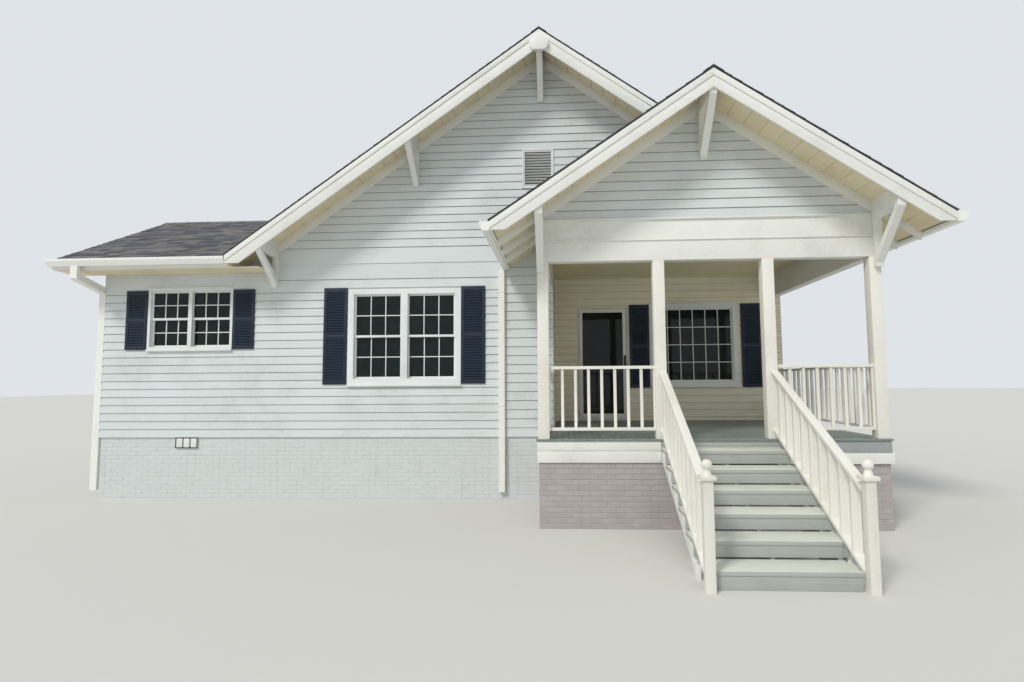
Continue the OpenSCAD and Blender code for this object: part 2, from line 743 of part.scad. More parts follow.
module porch_beams() color("white") site() {
    // Beams
    union() {
        box([casing_t, -porch_out + casing_t, beam_z], [porch_right - casing_t, -porch_out + post_t, beam_top_z]);
        box([casing_t, -porch_out + casing_t, beam_z], [post_t, 0, beam_top_z]);
        box([porch_right - post_t, -porch_out + casing_t, beam_z], [porch_right - casing_t, recess_depth, beam_top_z]);
    }
    // Facing boards
    box([0, -porch_out, beam_z], [porch_right, -porch_out + casing_t, beam_z + facing_h]);
    box([0, -porch_out, beam_z + facing_h], [porch_right, -porch_out + casing_t / 2, beam_z + facing_h + moulding_h]);
    box([0, -porch_out, beam_z + facing_h + moulding_h],
        [porch_right, -porch_out + casing_t, beam_z + 2 * facing_h + 2 * moulding_h]);
    box([0, -porch_out + casing_t, beam_z], [casing_t, 0, plate_z]);
    box([porch_right - casing_t, -porch_out + casing_t, beam_z], [porch_right, recess_depth, plate_z]);
}

module porch_gable_wall() color("ivory") site() {
    intersection() {
        union() {
            box([0, -porch_out + casing_t, plate_z], [porch_right, -porch_out + casing_t + gable_t, ridge_z]);
            box([0, -porch_out + casing_t, plate_z], [frieze_t, 0, ridge_z]);
            box([porch_right - frieze_t, -porch_out + casing_t, plate_z], [porch_right, 0, ridge_z]);
        }
        below_porch(-porch_out, 0);
    }
}

module porch_ceiling() color("white") site() union() {
    box([casing_t, -porch_out + casing_t, beam_top_z], [porch_right - casing_t, 0, plate_z]);
    box([recess_x, -1, beam_top_z], [porch_right - casing_t, recess_depth, plate_z]);
}

// Railing along X from 0 to length, its back at y = 0
module railing(length) {
    n = round(length / baluster_step) - 1;
    box([0, 0, porch_floor_z + rail_h - rail_t], [length, rail_w, porch_floor_z + rail_h]);
    box([0, (rail_w - rail_t) / 2, porch_floor_z + rail_gap], [length, (rail_w + rail_t) / 2, porch_floor_z + rail_gap + rail_t]);
    for (x = [0, length - baluster_t / 2])
        box([x, (rail_w - baluster_t) / 2, porch_floor_z + rail_gap],
            [x + baluster_t / 2, (rail_w + baluster_t) / 2, porch_floor_z + rail_h - rail_t]);
    for (i = [1:n])
        box([i * length / (n + 1) - baluster_t / 2, (rail_w - baluster_t) / 2, porch_floor_z + rail_gap],
            [i * length / (n + 1) + baluster_t / 2, (rail_w + baluster_t) / 2, porch_floor_z + rail_h - rail_t]);
}

module porch_railings() color("white") site() {
    inset = (post_t - rail_w) / 2;
    translate([post_x[0] + post_t, -porch_out + inset, 0]) railing(left_bay);
    translate([post_x[2] + post_t, -porch_out + inset, 0]) railing(post_x[3] - post_x[2] - post_t);
    translate([inset + rail_w, -porch_out + post_t, 0]) rotate([0, 0, 90]) railing(porch_out - post_t);
    translate([porch_right - inset, -porch_out + post_t, 0]) rotate([0, 0, 90])
        railing(porch_out - post_t + recess_depth);
}

// Notched stringers, cut to carry each tread and back each riser
module stair_stringers() color("gray") site() {
    back = nosing + riser_t;
    throat = stringer_throat / cos(atan(riser / going));
    low = tread_z(0) - tread_t - (going - back) * riser / going - throat;
    xs = [stair_x0 + stringer_in, (stair_x0 + stair_x1 - stringer_t) / 2, stair_x1 - stringer_in - stringer_t];
    for (x = xs) along_x(x, x + stringer_t)
        polygon(concat([[-porch_out, low], [-porch_out - low * going / riser, 0], [tread_y(treads - 1) + back, 0]],
            [for (i = [treads - 1:-1:0], s = [0, 1])
                [s == 0 ? tread_y(i) + back : (i == 0 ? -porch_out : tread_y(i - 1) + back), tread_z(i) - tread_t]]));
}

module stair_treads() color("silver") site() for (i = [0:treads - 1])
    box([stair_x0, tread_y(i), tread_z(i) - tread_t],
        [stair_x1, i == 0 ? -porch_out : tread_y(i - 1) + nosing, tread_z(i)]);

module stair_risers() color("gray") site() for (i = [0:treads - 1])
    box([stair_x0, tread_y(i) + nosing, i == treads - 1 ? 0 : tread_z(i + 1) - tread_t],
        [stair_x1, tread_y(i) + nosing + riser_t, tread_z(i) - tread_t]);

// Newels with a cap, a turned neck and a ball
module newel_posts() color("white") site() for (x = newel_x) translate([x, newel_y, 0]) {
    mid = newel_t / 2;
    box([0, 0, 0], [newel_t, newel_t, newel_h]);
    box([-cap_over, -cap_over, newel_h], [newel_t + cap_over, newel_t + cap_over, newel_h + cap_t]);
    translate([mid, mid, newel_h + cap_t]) cylinder(d1 = neck_foot_d, d2 = neck_d, h = neck_h + ball_d / 10);
    translate([mid, mid, newel_h + cap_t + neck_h + ball_d / 2]) sphere(d = ball_d);
}

// Sloped railing down the stair, its middle at x
module stair_railing(x) {
    y0 = newel_y + newel_t;
    n = round(rail_run / stair_step) - 1;
    // Rail between two depths under the line of its top
    module sloped(top, low, w) along_x(x - w / 2, x + w / 2)
        polygon([[y0, stair_rail_z(y0) - low], [-porch_out, stair_rail_z(-porch_out) - low],
            [-porch_out, stair_rail_z(-porch_out) - top], [y0, stair_rail_z(y0) - top]]);
    sloped(0, rail_t, stair_rail_w);
    sloped(stair_rail_depth - rail_t, stair_rail_depth, stair_rail_w);
    intersection() {
        union() {
            for (i = [1:n])
                box([x - stair_rail_w / 2 + picket_in, y0 + i * rail_run / (n + 1) - baluster_t / 2, 0],
                    [x + stair_rail_w / 2 - picket_in, y0 + i * rail_run / (n + 1) + baluster_t / 2, beam_z]);
        }
        sloped(rail_t / 2, stair_rail_depth - rail_t / 2, stair_rail_w);
    }
}

module stair_railings() color("white") site() for (x = newel_x) stair_railing(x + newel_t / 2);

// Window in a wall that faces the front, its wall face at y = 0: casing, liner, sashes and mullion
module window(o, casing, mullion) {
    a = lined(o);
    difference() {
        box([o[0] - casing, -casing_t, o[1] - casing], [o[2] + casing, 0, o[3] + casing]);
        hole_y(a, -casing_t, 0);
    }
    difference() {
        hole_y(o, 1, wall_t - 1);
        hole_y(a, 0, wall_t);
    }
    difference() {
        hole_y(a, sash_in + 1, sash_in + sash_t - 1);
        for (s = [0, 1]) hole_y(light(o, mullion, s), sash_in, sash_in + sash_t);
    }
    if (mullion > 0)
        box([(o[0] + o[2] - mullion) / 2, -casing_t, a[1]], [(o[0] + o[2] + mullion) / 2, sash_in, a[3]]);
    // Sill board
    box([o[0] - casing, -casing_t - sill_out, o[1] - casing - sill_t], [o[2] + casing, 0, o[1] - casing]);
}

// Opening inside the liner
function lined(o) = [o[0] + liner_t, o[1] + liner_t, o[2] - liner_t, o[3] - liner_t];

// Glass opening of one sash, on the left or the right of a mullion
function light(o, mullion, s) = mullion > 0 ?
    [s == 0 ? o[0] + liner_t + sash_w : (o[0] + o[2] + mullion) / 2 + sash_w, o[1] + liner_t + sash_w,
        s == 0 ? (o[0] + o[2] - mullion) / 2 - sash_w : o[2] - liner_t - sash_w, o[3] - liner_t - sash_w] :
    [o[0] + liner_t + sash_w, o[1] + liner_t + sash_w, o[2] - liner_t - sash_w, o[3] - liner_t - sash_w];

// Sheets of glass of a window, one for each sash
module panes(o, mullion) for (s = mullion > 0 ? [0, 1] : [0]) {
    g = light(o, mullion, s);
    box([g[0], sash_in + (sash_t - glass_t) / 2, g[1]], [g[2], sash_in + (sash_t + glass_t) / 2, g[3]]);
}

module wing_window() color("white") site() window(lifted(wing_open), wing_casing, wing_mullion);

module front_window() color("white") site() window(lifted(front_open), front_casing, front_mullion);

module entry_window() color("white") site() translate([0, recess_depth, 0])
    window(lifted(entry_open), entry_casing, 0);

// Sets its children into every window opening of the side and back walls
module side_places() {
    for (y = right_window_y) translate([body_half, y, 0]) rotate([0, 0, 90]) children();
    for (y = left_window_y) translate([-body_half, y + side_open[2], 0]) rotate([0, 0, -90]) children();
    translate([wing_x, wing_side_y + side_open[2], 0]) rotate([0, 0, -90]) children();
    for (x = back_window_x) translate([x + side_open[2], body_depth, 0]) rotate([0, 0, 180]) children();
    translate([wing_back_x + side_open[2], wing_depth, 0]) rotate([0, 0, 180]) children();
}

module side_windows() color("white") site() side_places() window(lifted(side_open), front_casing, 0);

module window_glass() color("lightblue") site() {
    panes(lifted(wing_open), wing_mullion);
    panes(lifted(front_open), front_mullion);
    translate([0, recess_depth, 0]) panes(lifted(entry_open), 0);
    side_places() panes(lifted(side_open), 0);
}

// Pair of shutters beside a window, each with two sunk panels for the slats
module shutter_pair(o, casing, c) {
    low = o[1] - casing + c[1];
    high = o[3] + casing + c[2];
    half = (high - low - 3 * shutter_rail) / 2;
    for (x = [o[0] - casing - c[3] - c[0], o[2] + casing + c[4]]) difference() {
        box([x, -shutter_t, low], [x + c[0], 0, high]);
        for (z = [low + shutter_rail, low + 2 * shutter_rail + half])
            box([x + shutter_stile, -shutter_t - 1, z],
                [x + c[0] - shutter_stile, -shutter_t + shutter_sunk, z + half]);
    }
}

module shutters() color("midnightblue") site() {
    shutter_pair(lifted(wing_open), wing_casing, wing_shutter);
    shutter_pair(lifted(front_open), front_casing, front_shutter);
    translate([0, recess_depth, 0]) shutter_pair(lifted(entry_open), entry_casing, entry_shutter);
}

// Vent of a frame and tilted slats in an opening, its wall face at y = 0
module vent(o, n, w, depth) {
    difference() {
        hole_y(o, -vent_out + 1, depth - 1);
        hole_y([o[0] + w, o[1] + w, o[2] - w, o[3] - w], -vent_out, depth);
    }
    for (i = [0:n - 1])
        translate([o[0] + w / 2, 0, o[1] + w + (i + 0.5) * (o[3] - o[1] - 2 * w) / n]) rotate([slat_tilt, 0, 0])
            translate([0, -vent_out + slat_in, -slat_t / 2]) cube([o[2] - o[0] - w, slat_w, slat_t]);
}

module wall_vents() color("white") site() {
    vent(lifted(gable_vent), gable_slats, vent_frame, vent_depth);
    translate([0, footing_inset, 0]) vent(lifted(base_vent), base_slats, vent_frame, vent_depth);
}

// Level of the underside of the leaf
leaf_z = floor_z + door_gap;

// Hinge line of the leaf
hinge_x = door_x - hinge_in;
hinge_y = recess_depth - hinge_out;

// Hinge knuckles with the webs that join them to a face from x0 to x1, lifted by rise
module knuckles(x0, x1, rise) for (z = hinge_z) {
    translate([hinge_x, hinge_y, leaf_z + z + rise]) cylinder(r = hinge_r, h = hinge_h);
    box([x0, hinge_y, leaf_z + z + rise], [x1, recess_depth + 1, leaf_z + z + rise + hinge_h]);
}

module door_frame() color("white") site() {
    difference() {
        box([door_open[0], recess_depth, sill_z], [door_open[2], entry_y, door_open[3]]);
        box([door_open[0] + jamb_t, recess_depth - 1, floor_z],
            [door_open[2] - jamb_t, entry_y + 1, door_open[3] - jamb_t]);
    }
    knuckles(hinge_x - hinge_r, door_x - door_gap, 0);
}

module storm_door() color("white") site() {
    difference() {
        box([door_x, recess_depth, leaf_z], [door_x + door_w, recess_depth + door_t, leaf_z + door_h]);
        box([door_x + door_stile, recess_depth - 1, leaf_z + door_foot],
            [door_x + door_w - door_stile, recess_depth + door_t + 1, leaf_z + door_h - door_stile]);
    }
    knuckles(door_x, hinge_x + hinge_r, hinge_h);
    // Handle through the free stile, outside and inside
    hx = door_x + door_w - door_stile / 2;
    for (y = [recess_depth - handle_out, recess_depth + door_t]) {
        for (z = [handle_z, handle_z + handle_h - handle_t])
            box([hx - handle_t / 2, y, z], [hx + handle_t / 2, y + handle_out, z + handle_t]);
    }
    for (y = [recess_depth - handle_out, recess_depth + door_t + handle_out - handle_t])
        box([hx - handle_t / 2, y, handle_z], [hx + handle_t / 2, y + handle_t, handle_z + handle_h]);
}

module storm_door_glass() color("lightblue") site()
    box([door_x + door_stile, recess_depth + (door_t - glass_t) / 2, leaf_z + door_foot],
        [door_x + door_w - door_stile, recess_depth + (door_t + glass_t) / 2, leaf_z + door_h - door_stile]);

foundation();
porch_foundation();
house_floor();
wing_front_wall();
wing_side_wall();
wing_back_wall();
front_wall();
gable_wall();
entry_wall_left();
entry_wall_head();
entry_wall_right();
right_wall();
left_wall();
back_wall();
main_roof();
wing_roof();
porch_roof();
main_rake_boards();
porch_rake_boards();
wing_trim();
gable_brackets();
porch_brackets();
gutters();
porch_frame();
porch_floor();
porch_posts();
porch_beams();
porch_gable_wall();
porch_ceiling();
porch_railings();
stair_stringers();
stair_treads();
stair_risers();
newel_posts();
stair_railings();
wing_window();
front_window();
entry_window();
side_windows();
window_glass();
shutters();
wall_vents();
door_frame();
storm_door();
storm_door_glass();
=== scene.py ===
import math
import random
import bmesh
import bpy
from mathutils import Matrix, Vector


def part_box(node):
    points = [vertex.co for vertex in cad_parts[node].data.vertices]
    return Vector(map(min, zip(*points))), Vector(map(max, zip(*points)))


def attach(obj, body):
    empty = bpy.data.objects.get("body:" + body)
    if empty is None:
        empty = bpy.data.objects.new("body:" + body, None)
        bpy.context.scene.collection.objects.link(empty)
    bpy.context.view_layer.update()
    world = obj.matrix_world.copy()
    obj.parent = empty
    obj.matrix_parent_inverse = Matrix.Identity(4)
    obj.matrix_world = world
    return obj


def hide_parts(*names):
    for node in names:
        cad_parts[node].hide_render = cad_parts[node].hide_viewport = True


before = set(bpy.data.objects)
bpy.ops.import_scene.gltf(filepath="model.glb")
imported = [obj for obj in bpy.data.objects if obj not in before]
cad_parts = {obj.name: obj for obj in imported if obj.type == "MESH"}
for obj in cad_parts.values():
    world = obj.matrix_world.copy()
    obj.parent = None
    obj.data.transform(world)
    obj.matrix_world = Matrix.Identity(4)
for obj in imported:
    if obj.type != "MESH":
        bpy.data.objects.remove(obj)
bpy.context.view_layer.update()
print("frame loaded:", len(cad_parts), "nodes")

# Everything below is laid out from the main ridge, the front wall face and the ground, in metres
roofLow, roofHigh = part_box("main_roof")
siteShift = Vector(((roofLow.x + roofHigh.x) / 2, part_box("gable_wall")[0].y, 0))

house = {
    "sill": 0.965, "porchFloor": 1.1, "plate": 3.78, "half": 4.34, "depth": 10.4, "recess": 1.71,
    "recessX": 0.16, "wingX": -7.25, "wingDepth": 4.2, "wingSoffit": 3.64,
    "eave": 0.544, "rake": 0.62, "deck": 0.08, "rakeBoard": 0.032, "mainPitch": 35.3, "mainHeel": 0.334,
    "wingPitch": 27, "wingHeel": 0.18, "wingEave": 0.5, "wingRake": 0.53,
    "porchPitch": 33.9, "porchHeel": 0.238, "porchOut": 1.82, "porchEave": 0.54, "porchRight": 4.3,
    "casing": 0.024,
}
bodyHalf, bodyBack, entryX, entryY = (house[k] for k in ("half", "depth", "recessX", "recess"))
wingX, wingBack, soffitZ, wingEave = (house[k] for k in ("wingX", "wingDepth", "wingSoffit", "wingEave"))
sillZ, floorZ, plateZ = (house[k] for k in ("sill", "porchFloor", "plate"))
postFace, rakeOut = -house["porchOut"], house["rake"]
porchRight, casing = house["porchRight"], house["casing"]
mainPitch, wingPitch, porchPitch = (house[k] for k in ("mainPitch", "wingPitch", "porchPitch"))


def slopeOf(degrees):
    return math.tan(math.radians(degrees))


def upright(thickness, degrees):
    return thickness / math.cos(math.radians(degrees))


mainTan, wingTan, porchTan = slopeOf(mainPitch), slopeOf(wingPitch), slopeOf(porchPitch)
mainDeck = upright(house["deck"], mainPitch)
wingDeck = upright(house["deck"], wingPitch)
porchDeck = upright(house["deck"], porchPitch)
mainPeak = plateZ + house["mainHeel"] + bodyHalf * mainTan      # underside of the deck at the ridge
wingMid, porchMid = wingBack / 2, porchRight / 2
wingPeak = plateZ + house["wingHeel"] + wingMid * wingTan
porchPeak = plateZ + house["porchHeel"] + porchMid * porchTan
mainHalf, porchHalf = bodyHalf + house["eave"], porchMid + house["porchEave"]
wingEnd = wingX - house["wingRake"]
porchFront = postFace - rakeOut


class Tap:
    # a socket that Python sums can use; each sum adds one Math node
    def __init__(self, graph, socket):
        self.graph, self.socket = graph, socket

    def mathNode(self, operation, a, b):
        return self.graph.node("ShaderNodeMath", {"operation": operation}, {0: a, 1: b})

    def __add__(self, other):
        return self.mathNode("ADD", self, other)

    def __radd__(self, other):
        return self.mathNode("ADD", other, self)

    def __mul__(self, other):
        return self.mathNode("MULTIPLY", self, other)

    def __rmul__(self, other):
        return self.mathNode("MULTIPLY", other, self)


class Graph:
    # the nodes of one material or of the world
    def __init__(self, tree):
        self.tree = tree

    def node(self, kind, settings, inputs, out=0):
        made = self.tree.nodes.new(kind)
        for key, value in settings.items():
            if key == "stops":
                ramp = made.color_ramp
                while len(ramp.elements) < len(value):
                    ramp.elements.new(0.5)
                for element, (position, colour) in zip(ramp.elements, value):
                    element.position, element.color = position, linear(colour)
            else:
                setattr(made, key, value)
        for key, value in inputs.items():
            self.feed(made.inputs[key], value)
        return Tap(self, made.outputs[out])

    def feed(self, socket, value):
        if isinstance(value, Tap):
            self.tree.links.new(value.socket, socket)
        else:
            socket.default_value = linear(value) if socket.type == "RGBA" else value


class Finish(Graph):
    # one material, built node by node over its base colour
    def __init__(self, name, base):
        self.material, self.colour = bpy.data.materials.new(name), base
        self.material.use_nodes = True
        super().__init__(self.material.node_tree)
        self.place = self.node("ShaderNodeTexCoord", {}, {}, "Object")

    def stretched(self, scale):
        return self.node("ShaderNodeVectorMath", {"operation": "MULTIPLY"}, {0: self.place, 1: scale})

    def noise(self, vector, scale, detail, rough):
        return self.node("ShaderNodeTexNoise", {},
                         {"Vector": vector, "Scale": scale, "Detail": detail, "Roughness": rough}, "Fac")

    def mask(self, value, low, high):
        return self.node("ShaderNodeMapRange", {"interpolation_type": "SMOOTHSTEP"},
                         {"Value": value, "From Min": low, "From Max": high}, "Result")

    def tint(self, factor, shade):
        # lays a shade over the colour so far
        mixed = {0: factor, 6: self.colour, 7: shade}
        self.colour = self.node("ShaderNodeMix", {"data_type": "RGBA"}, mixed, 2)

    def stain(self, value, low, high, amount, shade):
        # the same, where a value rises from low to high
        self.tint(self.mask(value, low, high) * amount, shade)

    def part(self, vector, axis):
        return self.node("ShaderNodeSeparateXYZ", {}, {0: vector}, axis)

    def facingUp(self):
        return self.part(self.node("ShaderNodeNewGeometry", {}, {}, "Normal"), "Z")

    def islands(self):
        return self.node("ShaderNodeNewGeometry", {}, {}, "Random Per Island")

    def bump(self, height, strength, distance):
        return self.node("ShaderNodeBump", {}, {"Strength": strength, "Distance": distance, "Height": height})

    def surface(self, **values):
        for key, value in {"colour": self.colour, **values}.items():
            self.feed(self.tree.nodes["Principled BSDF"].inputs[socketNames[key]], value)
        return self.material


socketNames = {"colour": "Base Color", "roughness": "Roughness", "metallic": "Metallic", "normal": "Normal",
               "alpha": "Alpha", "specular": "Specular IOR Level"}


def linear(colour):
    # a colour as a screen shows it, turned into the linear values that the nodes want
    return tuple(((c / 255 + 0.055) / 1.055) ** 2.4 if c > 10 else c / 255 / 12.92 for c in colour) + (1,)


def paintedWood(name, base, dirt, grain, wear=0.62, bare=None, roughness=0.48):
    # brushed paint over sawn wood: faint grain, uneven dirt and a few rubbed spots
    f = Finish(name, base)
    fibre = f.noise(f.stretched(grain), 1.0, 6, 0.6)
    speck = f.noise(f.place, 26, 4, 0.65)
    f.stain(f.noise(f.place, 1.3, 5, 0.6) * 0.7 + speck * 0.3, 0.46, 0.72, 0.5, dirt)
    f.stain(fibre, 0.5, 0.8, 0.22, dirt)
    f.tint(f.islands() * 0.12, dirt)
    if bare:
        f.stain(f.noise(f.stretched([g * 0.35 for g in grain]), 1.6, 8, 0.7), wear, wear + 0.05, 0.75, bare)
    return f.surface(roughness=roughness + speck * 0.16, normal=f.bump(fibre + speck * 0.35, 0.35, 0.0025))


def stairPaint(name, top, edge, dirt, bare):
    # porch paint with scuffs; faces that look up are paler, painted sunlight, and the upright faces are
    # greyer, painted shade
    f = Finish(name, edge)
    fibre = f.noise(f.stretched((2.2, 45, 60)), 1.0, 7, 0.62)
    speck = f.noise(f.place, 60, 4, 0.7)
    # painted sunlight: faces that look up take the paler top colour
    f.tint(f.mask(f.facingUp(), 0.3, 0.8), top)
    f.tint(f.islands() * 0.22, dirt)
    f.stain(f.noise(f.place, 2.1, 6, 0.6) * 0.6 + fibre * 0.4, 0.46, 0.7, 0.4, dirt)
    f.stain(f.noise(f.stretched((1.4, 9, 9)), 1.6, 8, 0.7), 0.62, 0.68, 0.45, bare)
    f.stain(speck, 0.62, 0.76, 0.25, dirt)
    return f.surface(roughness=0.52 + speck * 0.2, normal=f.bump(fibre + speck * 0.3, 0.4, 0.002))


def roofShingle():
    stops = [(0.0, (64, 67, 75)), (0.3, (80, 83, 91)), (0.5, (95, 97, 103)), (0.7, (110, 109, 109)),
             (1.0, (131, 126, 119))]
    f = Finish("mineral shingle", None)
    grit = f.noise(f.place, 420, 2, 0.7)
    clump = f.noise(f.place, 60, 4, 0.6)
    spread = f.islands() * 0.8 + clump * 0.2
    f.colour = f.node("ShaderNodeValToRGB", {"stops": stops}, {"Fac": spread}, "Color")
    f.stain(grit, 0.42, 0.7, 0.5, (142, 138, 140))
    f.stain(f.noise(f.place, 0.9, 4, 0.6), 0.45, 0.75, 0.3, (74, 66, 62))
    return f.surface(roughness=0.86 + grit * 0.1, specular=0.25,
                     normal=f.bump(grit + clump * 0.6, 0.7, 0.002))


def paintedBrick(name, base, dirt, bare, wear, vary=0.3):
    f = Finish(name, base)
    pore = f.noise(f.place, 130, 4, 0.7)
    cloud = f.noise(f.place, 3.5, 6, 0.65)
    f.tint(f.islands() * vary, dirt)
    f.stain(f.noise(f.stretched((14, 14, 1.2)), 1.0, 4, 0.6), 0.5, 0.78, 0.35, dirt)
    f.stain(cloud * 0.75 + pore * 0.25, wear, wear + 0.04, 0.8, bare)
    return f.surface(roughness=0.72 + pore * 0.2, specular=0.3, normal=f.bump(pore + cloud * 0.8, 0.8, 0.004))


def gutterEnamel(base, dirt):
    f = Finish("gutter enamel", base)
    speck = f.noise(f.place, 45, 5, 0.7)
    f.stain(f.noise(f.stretched((22, 22, 1.5)), 1.0, 5, 0.65), 0.52, 0.8, 0.4, dirt)
    f.stain(speck, 0.6, 0.75, 0.3, dirt)
    ripple = f.noise(f.stretched((2, 2, 9)), 1.0, 3, 0.5)
    return f.surface(roughness=0.32 + speck * 0.15, normal=f.bump(ripple, 0.15, 0.004))


def louvrePaint():
    f = Finish("navy shutter paint", (10, 27, 47))
    fibre = f.noise(f.stretched((30, 30, 6)), 1.0, 5, 0.6)
    f.stain(f.noise(f.place, 2.5, 4, 0.6), 0.4, 0.75, 0.5, (21, 42, 62))
    f.tint(f.islands() * 0.25, (8, 19, 33))
    # painted highlight: the slats' upper faces are lighter, as if lit from above
    f.stain(f.facingUp(), 0.2, 0.7, 0.45, (52, 76, 100))
    return f.surface(roughness=0.42 + fibre * 0.2, normal=f.bump(fibre, 0.2, 0.001))


def ventPaint(shallow=0.012, deep=0.026):
    # slats that are pale at their outer edges and darker in the depth between them, painted shade
    f = Finish("vent paint", (226, 229, 226))
    fibre = f.noise(f.stretched((6, 60, 60)), 1.0, 5, 0.6)
    speck = f.noise(f.place, 38, 4, 0.65)
    # painted shade: the faces darken the deeper they lie behind the wall face
    f.tint(f.mask(f.part(f.place, "Y"), siteShift.y + shallow, siteShift.y + deep), (58, 60, 59))
    f.stain(speck, 0.5, 0.78, 0.4, (140, 138, 128))
    return f.surface(roughness=0.5 + speck * 0.2, normal=f.bump(fibre, 0.25, 0.001))


def windowGlass():
    # painted shade: near-black glass stands for the dark rooms behind it, and its teal tint is painted
    # reflection
    f = Finish("window glass", (10, 20, 19))
    dustAndReflection = f.noise(f.place, 9, 6, 0.7)
    # lighter teal patches: dust, and painted reflection; the dust also roughens the glass
    f.tint(f.mask(dustAndReflection, 0.4, 0.8), (26, 42, 38))
    return f.surface(roughness=0.03 + f.mask(dustAndReflection, 0.5, 0.9) * 0.12, alpha=0.86, specular=0.32,
                     normal=f.bump(f.noise(f.place, 1.8, 2, 0.4), 0.12, 0.01))


def darkMetal():
    f = Finish("dark bronze handle", (38, 34, 32))
    speck = f.noise(f.place, 160, 4, 0.6)
    f.tint(f.mask(speck, 0.45, 0.8), (74, 66, 58))
    return f.surface(metallic=0.7, roughness=0.3 + speck * 0.25, normal=f.bump(speck, 0.1, 0.0005))


across, upward, inward = (3.0, 3.0, 70), (75, 75, 3.0), (40, 3, 40)      # how the grain runs
paint = {
    # siding: white paint with a faint cool cast, painted skylit shade
    "siding": paintedWood("siding paint", (217, 223, 223), (184, 189, 184), across, 0.66, (162, 158, 148)),
    # entry siding: pale cream paint, its warmer tone painted bounce light
    "entry": paintedWood("entry siding paint with painted bounce light", (240, 235, 216), (214, 205, 178), across, 0.7,
                         (188, 176, 150)),
    # dark strips under each board's butt: painted shadow of the laps, with some dirt
    "lapShadowAndDirt": paintedWood("painted lap shadow and dirt in the board joints", (140, 143, 140), (98, 98, 92), across),
    # the entry's strips are warmed too, painted bounce light
    "entryLapShadowAndDirt": paintedWood("painted lap shadow and dirt in the entry board joints", (200, 190, 164), (166, 154, 126), across),
    "trim": paintedWood("trim paint", (236, 237, 231), (202, 200, 189), across, 0.68, (172, 162, 148)),
    "post": paintedWood("post paint", (238, 236, 227), (207, 202, 188), upward, 0.68, (172, 162, 148)),
    # soffit and porch ceiling: pale paint, their tan painted bounce light
    "soffit": paintedWood("soffit paint with painted bounce light", (238, 226, 194), (206, 186, 140), across, 0.66, (166, 130, 84)),
    "ceiling": paintedWood("porch ceiling paint with painted bounce light", (232, 220, 186), (204, 186, 142), across, 0.7,
                           (172, 152, 114)),
    "deck": paintedWood("deck paint", (132, 142, 138), (104, 112, 108), upward, 0.6, (126, 124, 114), 0.42),
    # the pale tread tops are painted sunlight; the riser paint is the tread's upright grey, painted shade
    "tread": stairPaint("tread paint with painted sunlit tops", (222, 226, 217), (176, 181, 176), (170, 170, 160), (168, 152, 132)),
    "riser": stairPaint("riser paint in painted shade", (176, 181, 176), (174, 179, 173), (142, 144, 136), (156, 144, 126)),
    "skirt": paintedWood("grey skirt paint", (164, 167, 168), (132, 134, 134), across, 0.62,
                         (140, 130, 120), 0.5),
    "floor": paintedWood("indoor floor boards", (150, 118, 84), (104, 78, 54), inward, 0.75,
                         (90, 66, 46), 0.4),
    "shingle": roofShingle(),
    "brick": paintedBrick("painted foundation brick", (212, 217, 216), (186, 189, 185),
                          (164, 152, 142), 0.66, 0.12),
    # porch brick: worn grey paint, its base colour darkened in part as painted shade
    "pier": paintedBrick("worn porch brick", (182, 175, 174), (154, 146, 146), (208, 202, 194), 0.6),
    "metal": gutterEnamel((240, 240, 234), (200, 196, 184)),
    # window paint: the trim's white turned cool, painted skylit shade
    "frame": paintedWood("window paint with painted cool shade", (229, 233, 232), (198, 200, 194), across, 0.68, (170, 164, 152)),
    "vent": ventPaint(),
    "navy": louvrePaint(),
    "glass": windowGlass(),
    "handle": darkMetal(),
}
print("materials made:", len(paint))


class Pile:
    # a heap of small solids that becomes one mesh
    def __init__(self):
        self.points, self.faces, self.lapShadowAndDirtStrips = [], [], None

    def solid(self, lower, upper):
        # lower and upper are the matching ends of a prism, each a ring of points
        base, count = len(self.points), len(lower)
        self.points += [Vector(p) + siteShift for p in list(lower) + list(upper)]
        self.faces.append([base + i for i in reversed(range(count))])
        self.faces.append([base + count + i for i in range(count)])
        for i in range(count):
            j = (i + 1) % count
            self.faces.append([base + i, base + j, base + count + j, base + count + i])

    def box(self, low, high):
        (x0, y0, z0), (x1, y1, z1) = low, high
        ring = [(x0, y0), (x1, y0), (x1, y1), (x0, y1)]
        self.solid([(x, y, z0) for x, y in ring], [(x, y, z1) for x, y in ring])

    def bar(self, a, b, width, depth):
        # straight sloped bar between two points, its width level
        along = (b - a).normalized()
        across = along.cross(Vector((0, 0, 1))).normalized() * width / 2
        up = across.cross(along).normalized() * depth / 2
        ring = [across + up, -across + up, -across - up, across - up]
        self.solid([a + r for r in ring], [b + r for r in ring])

    def sweep(self, ring, spot, near, far):
        # an outline pushed from near to far, each corner placed by the function "spot"
        self.solid(*[[spot(s, end, z) for s, z in ring] for end in (near, far)])

    def piece(self, name, finish, body="house", ease=0.0, stands=()):
        mesh = bpy.data.meshes.new(name)
        mesh.from_pydata(self.points, [], self.faces)
        mesh.update()
        finishPiece(name, mesh, finish, body, ease, stands)


soften = {"merge": 0.00005, "flat": 0.01, "sharp": 0.6, "steps": 2, "round": 0.6, "smooth": 38}
hair, sliver, slack = 0.001, 0.002, 0.01      # a step between two faces, and what is too little to lay


